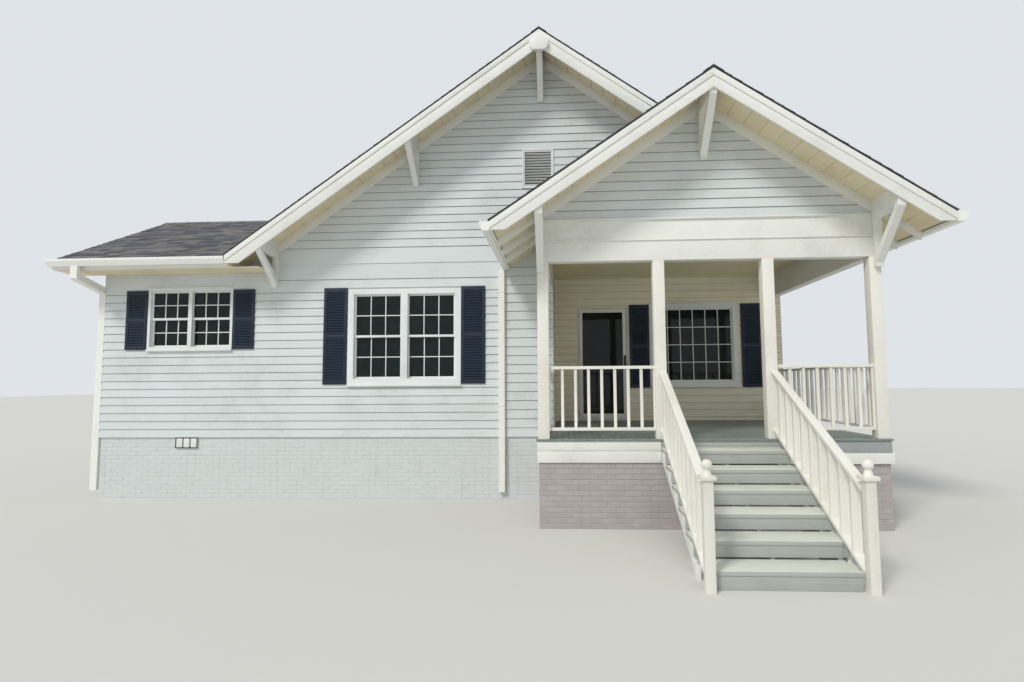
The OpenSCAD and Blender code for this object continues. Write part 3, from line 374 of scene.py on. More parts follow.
def tidyMesh(mesh, ease, merge=False):
    # outward faces and, where asked, softened edges
    b = bmesh.new()
    b.from_mesh(mesh)
    if merge:
        bmesh.ops.remove_doubles(b, verts=b.verts, dist=soften["merge"])
        bmesh.ops.dissolve_limit(b, angle_limit=soften["flat"], verts=b.verts, edges=b.edges)
    bmesh.ops.recalc_face_normals(b, faces=b.faces)
    if ease:
        sharp = [e for e in b.edges if len(e.link_faces) == 2 and e.calc_face_angle(0) > soften["sharp"]]
        bmesh.ops.bevel(b, geom=sharp, offset=ease, offset_type="OFFSET", segments=soften["steps"],
                        profile=soften["round"], affect="EDGES", clamp_overlap=True)
    b.to_mesh(mesh)
    b.free()
    mesh.update()
    if ease:
        mesh.shade_smooth()
        mesh.set_sharp_from_angle(angle=math.radians(soften["smooth"]))


def placed(name, data):
    made = bpy.data.objects.new(name, data)
    bpy.context.scene.collection.objects.link(made)
    return made


def finishPiece(name, mesh, finish, body, ease, stands, merge=False):
    made = placed(name, mesh)
    tidyMesh(mesh, ease, merge)
    mesh.materials.append(paint[finish])
    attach(made, body)
    if stands:
        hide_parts(*stands)


def easedCopy(node, finish, ease, body="house"):
    # the CAD piece with softened edges, in place of the sharp one
    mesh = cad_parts[node].data.copy()
    mesh.materials.clear()
    if mesh.attributes.get("custom_normal"):
        mesh.attributes.remove(mesh.attributes["custom_normal"])
    finishPiece(node + "_eased", mesh, finish, body, ease, (node,), True)


# Walls, decks and the other pieces that keep their CAD shape
for finish, nodes in {
    "siding": ["wing_front_wall", "wing_side_wall", "wing_back_wall", "front_wall", "gable_wall",
               "right_wall", "left_wall", "back_wall", "porch_gable_wall"],
    "entry": ["entry_wall_left", "entry_wall_head", "entry_wall_right"],
    "brick": ["foundation"], "pier": ["porch_foundation"], "floor": ["house_floor"],
    "shingle": ["main_roof", "wing_roof", "porch_roof"],
    "ceiling": ["porch_ceiling"], "metal": ["gutters"], "glass": ["window_glass", "storm_door_glass"],
}.items():
    for node in nodes:
        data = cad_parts[node].data
        data.materials.clear()
        data.materials.append(paint[finish])

for node, finish, ease in [
    ("porch_posts", "post", 0.006), ("porch_beams", "trim", 0.004), ("main_rake_boards", "trim", 0.004),
    ("porch_rake_boards", "trim", 0.004), ("wing_trim", "trim", 0.003), ("gable_brackets", "trim", 0.005),
    ("porch_brackets", "trim", 0.005), ("porch_frame", "trim", 0.004), ("porch_railings", "post", 0.004),
    ("stair_stringers", "trim", 0.004),
    ("newel_posts", "post", 0.005), ("stair_railings", "post", 0.004), ("wing_window", "frame", 0.003),
    ("front_window", "frame", 0.003), ("entry_window", "frame", 0.003), ("side_windows", "frame", 0.003),
    ("shutters", "navy", 0.003), ("wall_vents", "vent", 0.002), ("door_frame", "trim", 0.003),
]:
    easedCopy(node, finish, ease)
easedCopy("storm_door", "trim", 0.003, "storm_door_leaf")
print("house pieces dressed")

# Lapped wall boards
boards = {"butt": 0.015, "tip": 0.003, "shortest": 2.2, "longest": 4.6, "joint": 0.0016, "course": 0.13,
          "sideCourse": 0.142, "porchCourse": 0.125, "wideRows": [3.51, 3.765, 4.03, 4.165], "nextRow": 4.295,
          "frontTop": 3.3, "eaveTop": 4.1, "rightFoot": 3.785, "porchFoot": 3.901, "entryFirst": 1.166,
          "entryTop": 3.76, "friezeZ": 3.385, "spoutX": -0.65, "lapShadowAndDirt": 0.008, "lapShadowAndDirtOut": 0.0065,
          "firstJoint": 0.4, "endGap": 0.25, "least": 0.004}

# The way along each wall face, seen from outside, and the way out of it
facing = {"front": ((1, 0, 0), (0, -1, 0)), "right": ((0, 1, 0), (1, 0, 0)), "left": ((0, -1, 0), (-1, 0, 0)),
          "back": ((-1, 0, 0), (0, 1, 0))}
luck = random.Random(11)


def courseLines(start, top, step):
    lines = [start]
    while lines[-1] < top - slack:
        lines.append(lines[-1] + step)
    return lines


def lapWall(pile, origin, face, levels, left, right, holes=(), top=math.inf, mitre=(True, True)):
    # courses of tapered boards on one wall face, cut to its outline and round its openings
    origin, (along, out) = Vector(origin), (Vector(v) for v in facing[face])
    for low, high in zip(levels, levels[1:]):
        cuts = {z for h in holes for z in (h[1], h[3]) if low < z < min(high, top)}
        cuts = sorted(cuts | {low, min(high, top)})
        joints, spot = [], left(low) + luck.uniform(boards["firstJoint"], boards["longest"])
        while spot < right(low):
            joints.append(spot)
            spot += luck.uniform(boards["shortest"], boards["longest"])
        for z0, z1 in zip(cuts, cuts[1:]):
            gone = sorted((h[0], h[2]) for h in holes if h[1] < (z0 + z1) / 2 < h[3])
            edges, spot = [], None
            for a, b in gone:
                edges.append((spot, a))
                spot = b
            edges.append((spot, None))
            for a, b in edges:
                first = (left(z0) if a is None else a) + boards["endGap"]
                last = (right(z0) if b is None else b) - boards["endGap"]
                stops = [a] + [j for j in joints if first < j < last] + [b]
                for s0, s1 in zip(stops, stops[1:]):
                    lapBoard(pile, origin, along, out, low, high, z0, z1, left, right, s0, s1, mitre,
                             z0 == low and low > levels[0])


def lapBoard(pile, origin, along, out, low, high, z0, z1, left, right, s0, s1, mitre, lapShadowAndDirt):
    rings = []
    for z in (z0, z1):
        thick = boards["butt"] + (boards["tip"] - boards["butt"]) * (z - low) / (high - low)
        a = left(z) if s0 is None else max(s0 + boards["joint"] / 2, left(z))
        b = right(z) if s1 is None else min(s1 - boards["joint"] / 2, right(z))
        if b - a < sliver:
            a = b = (a + b) / 2
        grow0 = thick if s0 is None and mitre[0] else 0
        grow1 = thick if s1 is None and mitre[1] else 0
        up = Vector((0, 0, z))
        rings.append([origin + along * a + up, origin + along * b + up,
                      origin + along * (b + grow1) + up + out * thick,
                      origin + along * (a - grow0) + up + out * thick])
    if any((ring[1] - ring[0]).length > boards["least"] for ring in rings):
        pile.solid(*rings)
        if lapShadowAndDirt:      # a dark strip under the butt of the board: painted shadow of the lap, with dirt
            (p, q), drop, far = rings[0][:2], Vector((0, 0, boards["lapShadowAndDirt"])), out * boards["lapShadowAndDirtOut"]
            pile.lapShadowAndDirtStrips.solid([p - drop, q - drop, q - drop + far, p - drop + far], [p, q, q + far, p + far])


def flat(value):
    return lambda z: value


windows = {
    "wing": {"open": (-6.48, 2.422, -5.103, 3.366), "casing": 0.032, "mullion": 0.02, "head": 0,
             "cover": 0.064},
    "front": {"open": (-3.063, 1.88, -1.39, 3.265), "casing": 0.085, "mullion": 0.09, "head": 0.012,
              "cover": 0.112},
    "entry": {"open": (2.002, 1.8, 3.475, 3.186), "casing": 0.07, "mullion": 0, "head": 0.01, "cover": 0},
    "side": {"open": (0, 1.88, 0.9, 3.265), "casing": 0.085, "mullion": 0, "head": 0.012, "cover": 0},
}
sillBoard = 0.03
sideSpots = {"right": (3.3, 6.9), "left": (5.4, 8.1), "back": (-3.1, -0.45, 2.2), "wingSide": 1.65,
             "wingBack": -6.2}
doorHole = (0.586, 0, 1.541, 3.216)
vents = {"gable": ((-0.29, 4.973), (0.182, 5.578)), "base": ((-5.96, 0.792), (-5.594, 0.961)), "clear": 0.022}


def cased(name, shift=0, mirrored=False):
    # the wall area that a window covers with its casing and sill
    a, low, b, high = windows[name]["open"]
    c = windows[name]["casing"]
    s0, s1 = a - c + shift, b + c + shift
    low, high = low - c - sillBoard, high + c + windows[name]["head"]
    return (-s1, low, -s0, high) if mirrored else (s0, low, s1, high)


soffitBoard = 0.014


def gableReach(half, peak, pitch):
    # how far the boards of a gable reach at each height
    return lambda z: min(half, max(0, (peak - upright(soffitBoard, pitch) - z) / slopeOf(pitch)))


mainReach = gableReach(bodyHalf, mainPeak, mainPitch)
wingReach = gableReach(wingMid, wingPeak, wingPitch)
porchReach = gableReach(porchMid, porchPeak, porchPitch)
step = boards["course"]
ground = (0, 0, 0)
(ventLeft, ventFoot), (ventRight, ventHead) = vents["gable"]
clear = vents["clear"]
ventHole = (ventLeft - clear, ventFoot - clear, ventRight + clear, ventHead + clear)

siding = Pile()
siding.lapShadowAndDirtStrips = Pile()
spoutX, wingFrieze, eaveTop = boards["spoutX"], boards["friezeZ"], boards["eaveTop"]
gableFoot = boards["wideRows"][1]
frontLevels = courseLines(sillZ, boards["frontTop"], step) + boards["wideRows"]
frontLevels += courseLines(boards["nextRow"], mainPeak, step)
lapWall(siding, ground, "front", courseLines(sillZ, wingFrieze, step), flat(wingX), flat(-bodyHalf - hair),
        [cased("wing")], wingFrieze, (True, False))
lapWall(siding, ground, "front", [z for z in frontLevels if z < gableFoot + hair], flat(-bodyHalf),
        flat(spoutX), [cased("front")], mitre=(False, False))
lapWall(siding, ground, "front", courseLines(sillZ, gableFoot, boards["sideCourse"]), flat(spoutX),
        flat(entryX), top=gableFoot, mitre=(False, True))
lapWall(siding, ground, "front", [z for z in frontLevels if z > gableFoot - hair], lambda z: -mainReach(z),
        mainReach, [ventHole], mitre=(False, False))
porchLevels = courseLines(boards["porchFoot"], porchPeak, boards["porchCourse"])
gableFace = postFace + casing
lapWall(siding, (porchMid, gableFace, 0), "front", porchLevels, lambda z: -porchReach(z), porchReach,
        mitre=(False, False))
sideLevels = courseLines(sillZ, eaveTop + slack, step)
lapWall(siding, (bodyHalf, 0, 0), "right", sideLevels, flat(entryY), flat(bodyBack),
        [cased("side", y) for y in sideSpots["right"]], eaveTop)
lapWall(siding, (bodyHalf, 0, 0), "right", courseLines(boards["rightFoot"], eaveTop, step), flat(0),
        flat(entryY), top=eaveTop, mitre=(False, False))
lapWall(siding, (-bodyHalf, 0, 0), "left", sideLevels, flat(-bodyBack), flat(-wingBack),
        [cased("side", y, True) for y in sideSpots["left"]], eaveTop, (True, False))
lapWall(siding, (0, bodyBack, 0), "back", courseLines(sillZ, mainPeak, step), lambda z: -mainReach(z),
        mainReach, [cased("side", x, True) for x in sideSpots["back"]])
lapWall(siding, (wingX, wingMid, 0), "left", courseLines(sillZ, wingPeak, step), lambda z: -wingReach(z),
        wingReach, [cased("side", sideSpots["wingSide"] - wingMid, True)])
lapWall(siding, (0, wingBack, 0), "back", courseLines(sillZ, soffitZ, step), flat(bodyHalf), flat(-wingX),
        [cased("side", sideSpots["wingBack"], True)], soffitZ, (False, True))
siding.piece("wall_boards", "siding")
# the dark strips under the butts: painted lap shadow, with dirt
siding.lapShadowAndDirtStrips.piece("wall_lap_shadow_and_dirt", "lapShadowAndDirt")

entry = Pile()
entry.lapShadowAndDirtStrips = Pile()
entryTop = boards["entryTop"]
entryLevels = [floorZ] + courseLines(boards["entryFirst"], entryTop, step)
lapWall(entry, (0, entryY, 0), "front", entryLevels, flat(entryX), flat(bodyHalf), [doorHole, cased("entry")],
        entryTop, (False, True))
lapWall(entry, (entryX, 0, 0), "right", entryLevels, flat(0), flat(entryY), top=entryTop, mitre=(True, False))
entry.piece("entry_wall_boards", "entry")
# the dark strips under the entry butts: painted lap shadow, with dirt
entry.lapShadowAndDirtStrips.piece("entry_lap_shadow_and_dirt", "entryLapShadowAndDirt")
print("wall boards laid")

# Roof shingles, laid from the eaves up
tabs = {"exposure": 0.143, "narrow": 0.14, "wide": 0.33, "thin": 0.005, "thick": 0.010, "gap": 0.003,
        "over": 0.016, "lap": 0.02, "tip": 0.0015, "least": 0.01, "cap": 0.15, "capLow": 0.010,
        "capHigh": 0.016, "capPeak": 0.004, "capLap": 0.03}


def shingleSlope(pile, corner, along, up, length, left, right):
    corner, along, up = Vector(corner), Vector(along).normalized(), Vector(up).normalized()
    lift = along.cross(up).normalized()
    lift = lift if lift.z > 0 else -lift
    row = -tabs["over"]
    while row < length - tabs["lap"]:
        top = min(row + tabs["exposure"] + tabs["lap"], length)
        s = left(row) - luck.uniform(0, tabs["narrow"])
        while s < right(row):
            e = s + luck.uniform(tabs["narrow"], tabs["wide"])
            rings = []
            butt = luck.choice([tabs["thin"], tabs["thick"], tabs["thick"]])
            for v, thick in ((row, butt), (top, tabs["tip"])):
                a, b = max(s, left(v)), min(e - tabs["gap"], right(v))
                if b - a < sliver:
                    a = b = min(max((a + b) / 2, left(v)), right(v))
                p, q = corner + along * a + up * v, corner + along * b + up * v
                rings.append([p, q, q + lift * thick, p + lift * thick])
            if (rings[0][1] - rings[0][0]).length > tabs["least"]:
                pile.solid(*rings)
            s = e
        row += tabs["exposure"]


def ridgeCaps(pile, start, end, sideA, sideB):
    # bent caps, each lapped over the one before
    start, way = Vector(start), Vector(end) - Vector(start)
    along, step = way.normalized(), tabs["exposure"]
    for i in range(int(way.length / step) + 1):
        p0, p1 = start + along * i * step, start + along * min((i + 1) * step + tabs["capLap"], way.length)
        for side in (Vector(sideA).normalized(), Vector(sideB).normalized()):
            rings = []
            for p, rise in ((p0, tabs["capHigh"]), (p1, tabs["capLow"])):
                foot = p + side * tabs["cap"]
                rings.append([p, foot, foot + Vector((0, 0, rise)),
                              p + Vector((0, 0, rise + tabs["capPeak"]))])
            pile.solid(*rings)


roofing = Pile()
mainTop, wingTop, porchTop = mainPeak + mainDeck, wingPeak + wingDeck, porchPeak + porchDeck
over, backRake, wingWide = tabs["over"], bodyBack + rakeOut, wingMid + wingEave
wingFall, wingRise = wingWide * wingTan, math.sin(math.radians(wingPitch))


def wingRowEnd(v):
    # where a row of the wing runs into the main roof
    meet = min(0.0, -(mainTop - (wingTop - wingFall + v * wingRise)) / mainTan)
    return max(meet, -mainHalf) - wingEnd


for side in (-1, 1):
    shingleSlope(roofing, (side * mainHalf, -rakeOut, mainTop - mainHalf * mainTan), (0, 1, 0),
                 (-side, 0, mainTan), upright(mainHalf, mainPitch), flat(-over),
                 flat(bodyBack + 2 * rakeOut + over))
    shingleSlope(roofing, (wingEnd, wingMid + side * wingWide, wingTop - wingFall), (1, 0, 0),
                 (0, -side, wingTan), upright(wingWide, wingPitch), flat(-over), wingRowEnd)
    shingleSlope(roofing, (porchMid + side * porchHalf, porchFront, porchTop - porchHalf * porchTan),
                 (0, 1, 0), (-side, 0, porchTan), upright(porchHalf, porchPitch), flat(-over),
                 flat(-porchFront))
ridgeCaps(roofing, (0, -rakeOut - over, mainTop), (0, backRake + over, mainTop), (1, 0, -mainTan),
          (-1, 0, -mainTan))
ridgeCaps(roofing, (wingEnd - over, wingMid, wingTop), (-(mainTop - wingTop) / mainTan, wingMid, wingTop),
          (0, 1, -wingTan), (0, -1, -wingTan))
ridgeCaps(roofing, (porchMid, porchFront - over, porchTop), (porchMid, 0, porchTop), (1, 0, -porchTan),
          (-1, 0, -porchTan))
roofing.piece("roof_shingles", "shingle")
print("shingles laid")

# Painted brick, each brick a little proud of its mortar
brick = {"long": 0.203, "high": 0.057, "joint": 0.01, "proud": 0.004, "edge": 0.003, "bond": [0.1065],
         "inset": 0.015, "pierInset": 0.012, "pierTop": 0.807, "least": 0.02, "uneven": (-0.0015, 0.001)}


def brickFace(pile, x, y, face, length, top, holes=()):
    # courses in running bond on a face that starts at its left or front end
    origin, out = Vector((x, y, 0)), Vector(facing[face][1])
    along = Vector([abs(v) for v in facing[face][0]])
    course, z = 0, 0.0
    while z < top - brick["least"]:
        high = min(z + brick["high"], top)
        s = -luck.choice(brick["bond"]) if course % 2 else 0.0
        while s < length:
            a, b = max(s, 0), min(s + brick["long"], length)
            clear = all(b < h[0] or a > h[2] or high < h[1] or z > h[3] for h in holes)
            if b - a > brick["least"] and clear:
                e, proud = brick["edge"], brick["proud"] + luck.uniform(*brick["uneven"])
                inner = [origin + along * u + Vector((0, 0, w))
                         for u, w in ((a, z), (b, z), (b, high), (a, high))]
                outer = [origin + along * u + Vector((0, 0, w)) + out * proud
                         for u, w in ((a + e, z + e), (b - e, z + e), (b - e, high - e), (a + e, high - e))]
                pile.solid(inner, outer)
            s += brick["long"] + brick["joint"]
        z += brick["high"] + brick["joint"]
        course += 1


inset = brick["inset"]
bricks = Pile()
baseLeft = wingX + inset
(x0, z0), (x1, z1) = vents["base"]
for x, y, face, length, holes in [
    (baseLeft, inset, "front", entryX - wingX - 2 * inset, [(x0 - baseLeft, z0, x1 - baseLeft, z1)]),
    (baseLeft, inset, "left", wingBack - 2 * inset, ()),
    (baseLeft, wingBack - inset, "back", -wingX - bodyHalf, ()),
    (-bodyHalf + inset, wingBack - inset, "left", bodyBack - wingBack, ()),
    (-bodyHalf + inset, bodyBack - inset, "back", 2 * (bodyHalf - inset), ()),
    (bodyHalf - inset, entryY + inset, "right", bodyBack - entryY - 2 * inset, ()),
]:
    brickFace(bricks, x, y, face, length, sillZ, holes)
bricks.piece("foundation_bricks", "brick")

pier = Pile()
inset = brick["pierInset"]
for x, face, length in [(inset, "front", porchRight - 2 * inset), (inset, "left", -postFace),
                        (porchRight - inset, "right", entryY - postFace)]:
    brickFace(pier, x, postFace + inset, face, length, brick["pierTop"])
pier.piece("porch_bricks", "pier")
print("bricks laid")

# Roof edges: the strip along each rake, the planks under each overhang and the board where a gable meets them
edging = {"strip": 0.012, "shown": 0.026, "plank": 0.235, "groove": 0.005, "uneven": 0.002, "wingPast": 0.2,
          "wallBoard": 0.13, "wallOut": 0.026, "frieze": 0.02}


def rakeBand(pile, spot, reach, line, high, low, near, far):
    # band under a gable's slopes, mitred at the peak and cut plumb at the feet
    for side in (-1, 1):
        ring = [(side * reach, line(reach) - low), (0, line(0) - low), (0, line(0) - high),
                (side * reach, line(reach) - high)]
        pile.sweep(ring, spot, near, far)


onFront = lambda s, y, z: (s, y, z)
onPorch = lambda s, y, z: (porchMid + s, y, z)
onWing = lambda s, x, z: (x, wingMid + s, z)
mainLine = lambda s: mainPeak - s * mainTan
wingLine = lambda s: wingPeak - s * wingTan
porchLine = lambda s: porchPeak - s * porchTan
edges = Pile()
for spot, reach, line, deck, face, out in [
    (onFront, mainHalf, mainLine, mainDeck, -rakeOut, -1),
    (onFront, mainHalf, mainLine, mainDeck, backRake, 1),
    (onPorch, porchHalf, porchLine, porchDeck, porchFront, -1),
    (onWing, wingWide, wingLine, wingDeck, wingEnd, -1),
]:
    rakeBand(edges, spot, reach, line, -deck + edging["shown"], soffitBoard, face,
             face + out * edging["strip"])
for spot, reach, line, face, out, angle in [
    (onFront, bodyHalf, mainLine, 0, -1, mainPitch),
    (onFront, bodyHalf, mainLine, bodyBack, 1, mainPitch),
    (onPorch, porchMid, porchLine, gableFace, -1, porchPitch),
    (onWing, wingMid, wingLine, wingX, -1, wingPitch),
]:
    rakeBand(edges, spot, reach, line, 0, upright(edging["wallBoard"], angle), face,
             face + out * edging["wallOut"])
edges.piece("rake_strips", "trim", ease=0.002)

planks = Pile()


def plankSlope(pile, spot, line, angle, start, reach, near, far):
    # sloped soffit planks that run from near to far, side by side up both slopes
    flatter = math.cos(math.radians(angle))
    for side in (-1, 1):
        s = reach
        while s > start + slack:
            nearer, gap = max(s - edging["plank"] * flatter, start), edging["groove"] / 2 * flatter
            drop = soffitBoard + luck.uniform(0, edging["uneven"])
            ends = (s - gap, nearer + gap)
            ring = [(side * t, line(t)) for t in ends] + [(side * t, line(t) - drop) for t in reversed(ends)]
            pile.sweep(ring, spot, near, far)
            s = nearer


board = house["rakeBoard"]
mainEnd, porchEnd = mainHalf - board, porchHalf - board
for where in [
    (onFront, mainLine, mainPitch, 0, mainEnd, -rakeOut + board, 0),
    (onFront, mainLine, mainPitch, 0, mainEnd, bodyBack, backRake - board),
    (onPorch, porchLine, porchPitch, 0, porchEnd, porchFront + board, gableFace),
    (onFront, mainLine, mainPitch, bodyHalf, mainEnd, 0, bodyBack),
    (onPorch, porchLine, porchPitch, porchMid, porchEnd, gableFace, 0),
    (onWing, wingLine, wingPitch, 0, wingMid + edging["wingPast"], wingEnd + board, wingX),
]:
    plankSlope(planks, *where)
planks.piece("soffit_planks", "soffit", ease=0.002)

# The plain board under the wing's front soffit, and the soffit's own narrow boards
frieze, thick = Pile(), edging["frieze"]
frieze.box((wingX - thick, -thick, wingFrieze), (-bodyHalf - hair, 0, soffitZ))
frieze.piece("wing_frieze_board", "siding", ease=0.002)
underside = {"wide": 0.113, "gap": 0.003, "low": 0.007, "left": -7.746, "front": -4.42, "back": -4.342,
             "near": 0.022, "far": 0.466}
soffitBoards = Pile()
for end, y0, y1 in ((underside["front"], -underside["far"], -underside["near"]),
                    (underside["back"], wingBack + underside["near"], wingBack + underside["far"])):
    count = round((y1 - y0) / underside["wide"])
    for i in range(count):
        a, b = y0 + (y1 - y0) * i / count, y0 + (y1 - y0) * (i + 1) / count
        soffitBoards.box((underside["left"], a + underside["gap"] / 2, soffitZ - underside["low"]),
                         (end, b - underside["gap"] / 2, soffitZ + hair))
soffitBoards.piece("wing_soffit_boards", "soffit", ease=0.0015)

# Boards that close the wing soffits where the main rakes pass over them
close = {"low": 3.655, "x0": -4.884, "x1": -4.84, "front": -0.588, "back": 0.468}
closing = Pile()
ring = [(close["x0"], close["low"]), (close["x1"], close["low"]),
        (close["x1"], mainLine(-close["x1"]) - soffitBoard), (close["x0"], mainLine(-close["x0"]) - hair)]
for y0, y1 in ((close["front"], 0), (wingBack, wingBack + close["back"])):
    closing.sweep(ring, onFront, y0, y1)
closing.piece("soffit_closers", "soffit")
print("roof edges trimmed")

# Sash bars, meeting rails and drip caps
sash = {"bar": 0.015, "depth": 0.012, "rail": 0.036, "liner": 0.012, "stile": 0.028, "inset": 0.045,
        "out": 0.012, "pane": 0.004, "glassIn": 0.014, "behind": 0.004, "lowerDeep": 0.034,
        "lowerGlass": 0.016, "lowerPane": 0.006, "coverOut": 0.027, "headOut": 0.028, "dripOut": 0.044,
        "dripHigh": 0.014, "dripPast": 0.01}


def sashBars(pile, panes, to, name):
    # the upper sash stands in front of the lower one; the fixed window has one sash that fills it
    spec = windows[name]
    a, low, b, high = spec["open"]
    s, out, inset, rail, bar, deep = (sash[k] for k in ("stile", "out", "inset", "rail", "bar", "depth"))
    gap, c, cover = sash["liner"] + s, spec["casing"], spec["cover"] / 2
    mid, m = (a + b) / 2, spec["mullion"] / 2
    lights = [(a + gap, mid - m - s), (mid + m + s, b - gap)] if m else [(a + gap, b - gap)]
    low, high = low + gap, high - gap
    fixed = name == "entry"
    meet = (low + high) / 2
    foot = low if fixed else meet + rail / 2
    under, glassY = foot - (s if fixed else rail), out + sash["glassIn"]
    for x0, x1 in lights:
        for left, right in ((x0 - s, x0), (x1, x1 + s)):
            to(pile, (left, out, under), (right, inset, high + s))
        to(pile, (x0, out, high), (x1, inset, high + s))
        to(pile, (x0, out, under), (x1, inset, foot))
        halves = [(foot, high, glassY, 4 if fixed else 2)]
        to(panes, (x0, glassY, foot), (x1, glassY + sash["pane"], high))
        if not fixed:
            to(pile, (x0, inset + sash["behind"], meet - rail / 2),
               (x1, inset + sash["lowerDeep"], meet + rail / 2))
            halves.append((low, meet - rail / 2, inset + sash["lowerGlass"], 2))
        for z0, z1, glass, rows in halves:
            columns = 6 if fixed else 3
            behind = glass + (sash["pane"] if glass < inset else sash["lowerPane"])
            for y0, y1 in ((glass - deep, glass), (behind, behind + deep)):
                for i in range(1, columns):
                    x = x0 + (x1 - x0) * i / columns
                    to(pile, (x - bar / 2, y0, z0), (x + bar / 2, y1, z1))
                for j in range(1, rows):
                    z = z0 + (z1 - z0) * j / rows
                    to(pile, (x0, y0 + hair, z - bar / 2), (x1, y1 - hair, z + bar / 2))
    if cover:
        to(pile, (mid - cover, -sash["coverOut"], low - s), (mid + cover, out, high + s))
    top = high + gap + c
    drip, past = top + spec["head"], c + sash["dripPast"]
    if spec["head"]:
        to(pile, (a - c, -sash["headOut"], top), (b + c, 0, drip))
    to(pile, (a - past, -sash["dripOut"], drip), (b + past, 0, drip + sash["dripHigh"]))


def turned(shift, quarter):
    # a box placed in a wall of another direction, quarter turns anticlockwise
    turn = Matrix.Rotation(quarter * math.pi / 2, 3, "Z")

    def to(pile, low, high):
        p, q = turn @ Vector(low) + Vector(shift), turn @ Vector(high) + Vector(shift)
        pile.box([min(u, v) for u, v in zip(p, q)], [max(u, v) for u, v in zip(p, q)])
    return to


bars, outerPanes = Pile(), Pile()
width = windows["side"]["open"][2]
places = [("wing", (0, 0, 0), 0), ("front", (0, 0, 0), 0), ("entry", (0, entryY, 0), 0)]
places += [("side", (bodyHalf, y, 0), 1) for y in sideSpots["right"]]
places += [("side", (-bodyHalf, y + width, 0), 3) for y in sideSpots["left"]]
places += [("side", (wingX, sideSpots["wingSide"] + width, 0), 3)]
places += [("side", (sideSpots["wingBack"] + width, wingBack, 0), 2)]
places += [("side", (x + width, bodyBack, 0), 2) for x in sideSpots["back"]]
for name, shift, quarter in places:
    sashBars(bars, outerPanes, turned(shift, quarter), name)
bars.piece("sash_bars", "frame", ease=0.0015)
outerPanes.piece("outer_glass", "glass")

# Shutter slats in their sunk panels
shutter = {"rail": 0.07, "stile": 0.048, "thick": 0.032, "pitch": 0.04, "slat": 0.034, "slatThick": 0.007,
           "tilt": 36, "behind": 0.008}
# each pair: its window, the wall, then the width, the steps at foot and head and the gaps at left and right
pairs = [("wing", 0, (0.36, -0.003, -0.033, 0.01, 0.005)), ("front", 0, (0.385, 0.005, 0.015, 0.014, 0.005)),
         ("entry", entryY, (0.365, -0.03, -0.006, 0.005, 0.07))]
slats = Pile()
tilt = math.radians(shutter["tilt"])
lean = Vector((0, math.cos(tilt), math.sin(tilt))) * shutter["slat"] / 2
thin = Vector((0, -lean.z, lean.y)).normalized() * shutter["slatThick"] / 2
for name, y, (wide, foot, head, gapLeft, gapRight) in pairs:
    a, low, b, high = windows[name]["open"]
    c = windows[name]["casing"]
    low, high = low - c + foot, high + c + head
    half = (high - low - 3 * shutter["rail"]) / 2
    for x in (a - c - gapLeft - wide, b + c + gapRight):
        for z in (low + shutter["rail"], low + 2 * shutter["rail"] + half):
            count = int(half / shutter["pitch"])
            for i in range(count):
                mid = Vector((0, y - shutter["thick"] + shutter["behind"], z + half * (i + 0.5) / count))
                ring = [mid - lean - thin, mid + lean - thin, mid + lean + thin, mid - lean + thin]
                slats.solid([p + Vector((x + shutter["stile"], 0, 0)) for p in ring],
                            [p + Vector((x + wide - shutter["stile"], 0, 0)) for p in ring])
slats.piece("shutter_slats", "navy")

# Base vent: a dark surround with two dividers over the pale grille, and three pale panels
grille = {"bar": 0.011, "front": -0.012, "back": -0.002, "panel": (-0.006, -0.003), "panels": 3}
(x0, z0), (x1, z1) = vents["base"]
bar, front, back, (panelFront, panelBack) = (grille[k] for k in ("bar", "front", "back", "panel"))
share = (x1 - x0 - bar) / grille["panels"]
lefts = [x0 + share * i for i in range(grille["panels"] + 1)]
surround, ventTrim = Pile(), Pile()
for low, high in ((z0, z0 + bar), (z1 - bar, z1)):
    surround.box((x0, front + hair * (low > z0), low), (x1, back, high))
for x in lefts:
    surround.box((x, front, z0), (x + bar, back, z1))
surround.piece("base_vent_surround", "handle")
for x in lefts[:-1]:
    ventTrim.box((x + bar, panelFront, z0 + bar), (x + share, panelBack, z1 - bar))

# The board round the gable vent
ventBoard = {"wide": 0.02, "proud": 0.026}
wide, proud = ventBoard["wide"], -ventBoard["proud"]
for x in (ventLeft - wide, ventRight):
    ventTrim.box((x, proud, ventFoot - wide), (x + wide, 0, ventHead + wide))
for z in (ventFoot - wide, ventHead):
    ventTrim.box((ventLeft, proud, z), (ventRight, 0, z + wide))
ventTrim.piece("vent_trim", "frame", ease=0.002)

# Straps round the gutter of the wing
fittings = Pile()
strap = {"wide": 0.03, "out": 0.003, "step": 0.85, "gutterIn": 0.122, "lip": 0.036, "foot": 0.004,
         "end": -4.905, "pipe": (-0.722, -0.604), "pipeOut": 0.074, "pipeBand": 0.022, "pipeZ": (1.45, 3.25)}
eaveZ, gutterFront, span = wingTop - wingFall, -wingEave - strap["gutterIn"], strap["end"] - wingEnd
count = int(span / strap["step"])
for i in range(1, count + 1):
    s = wingEnd + span * i / (count + 1)
    left, right = s - strap["wide"] / 2, s + strap["wide"] / 2
    outer = gutterFront - strap["out"]
    fittings.box((left, outer, eaveZ - strap["foot"]), (right, -wingEave, eaveZ + strap["out"]))
    fittings.box((left, outer, eaveZ - strap["lip"]), (right, gutterFront, eaveZ))

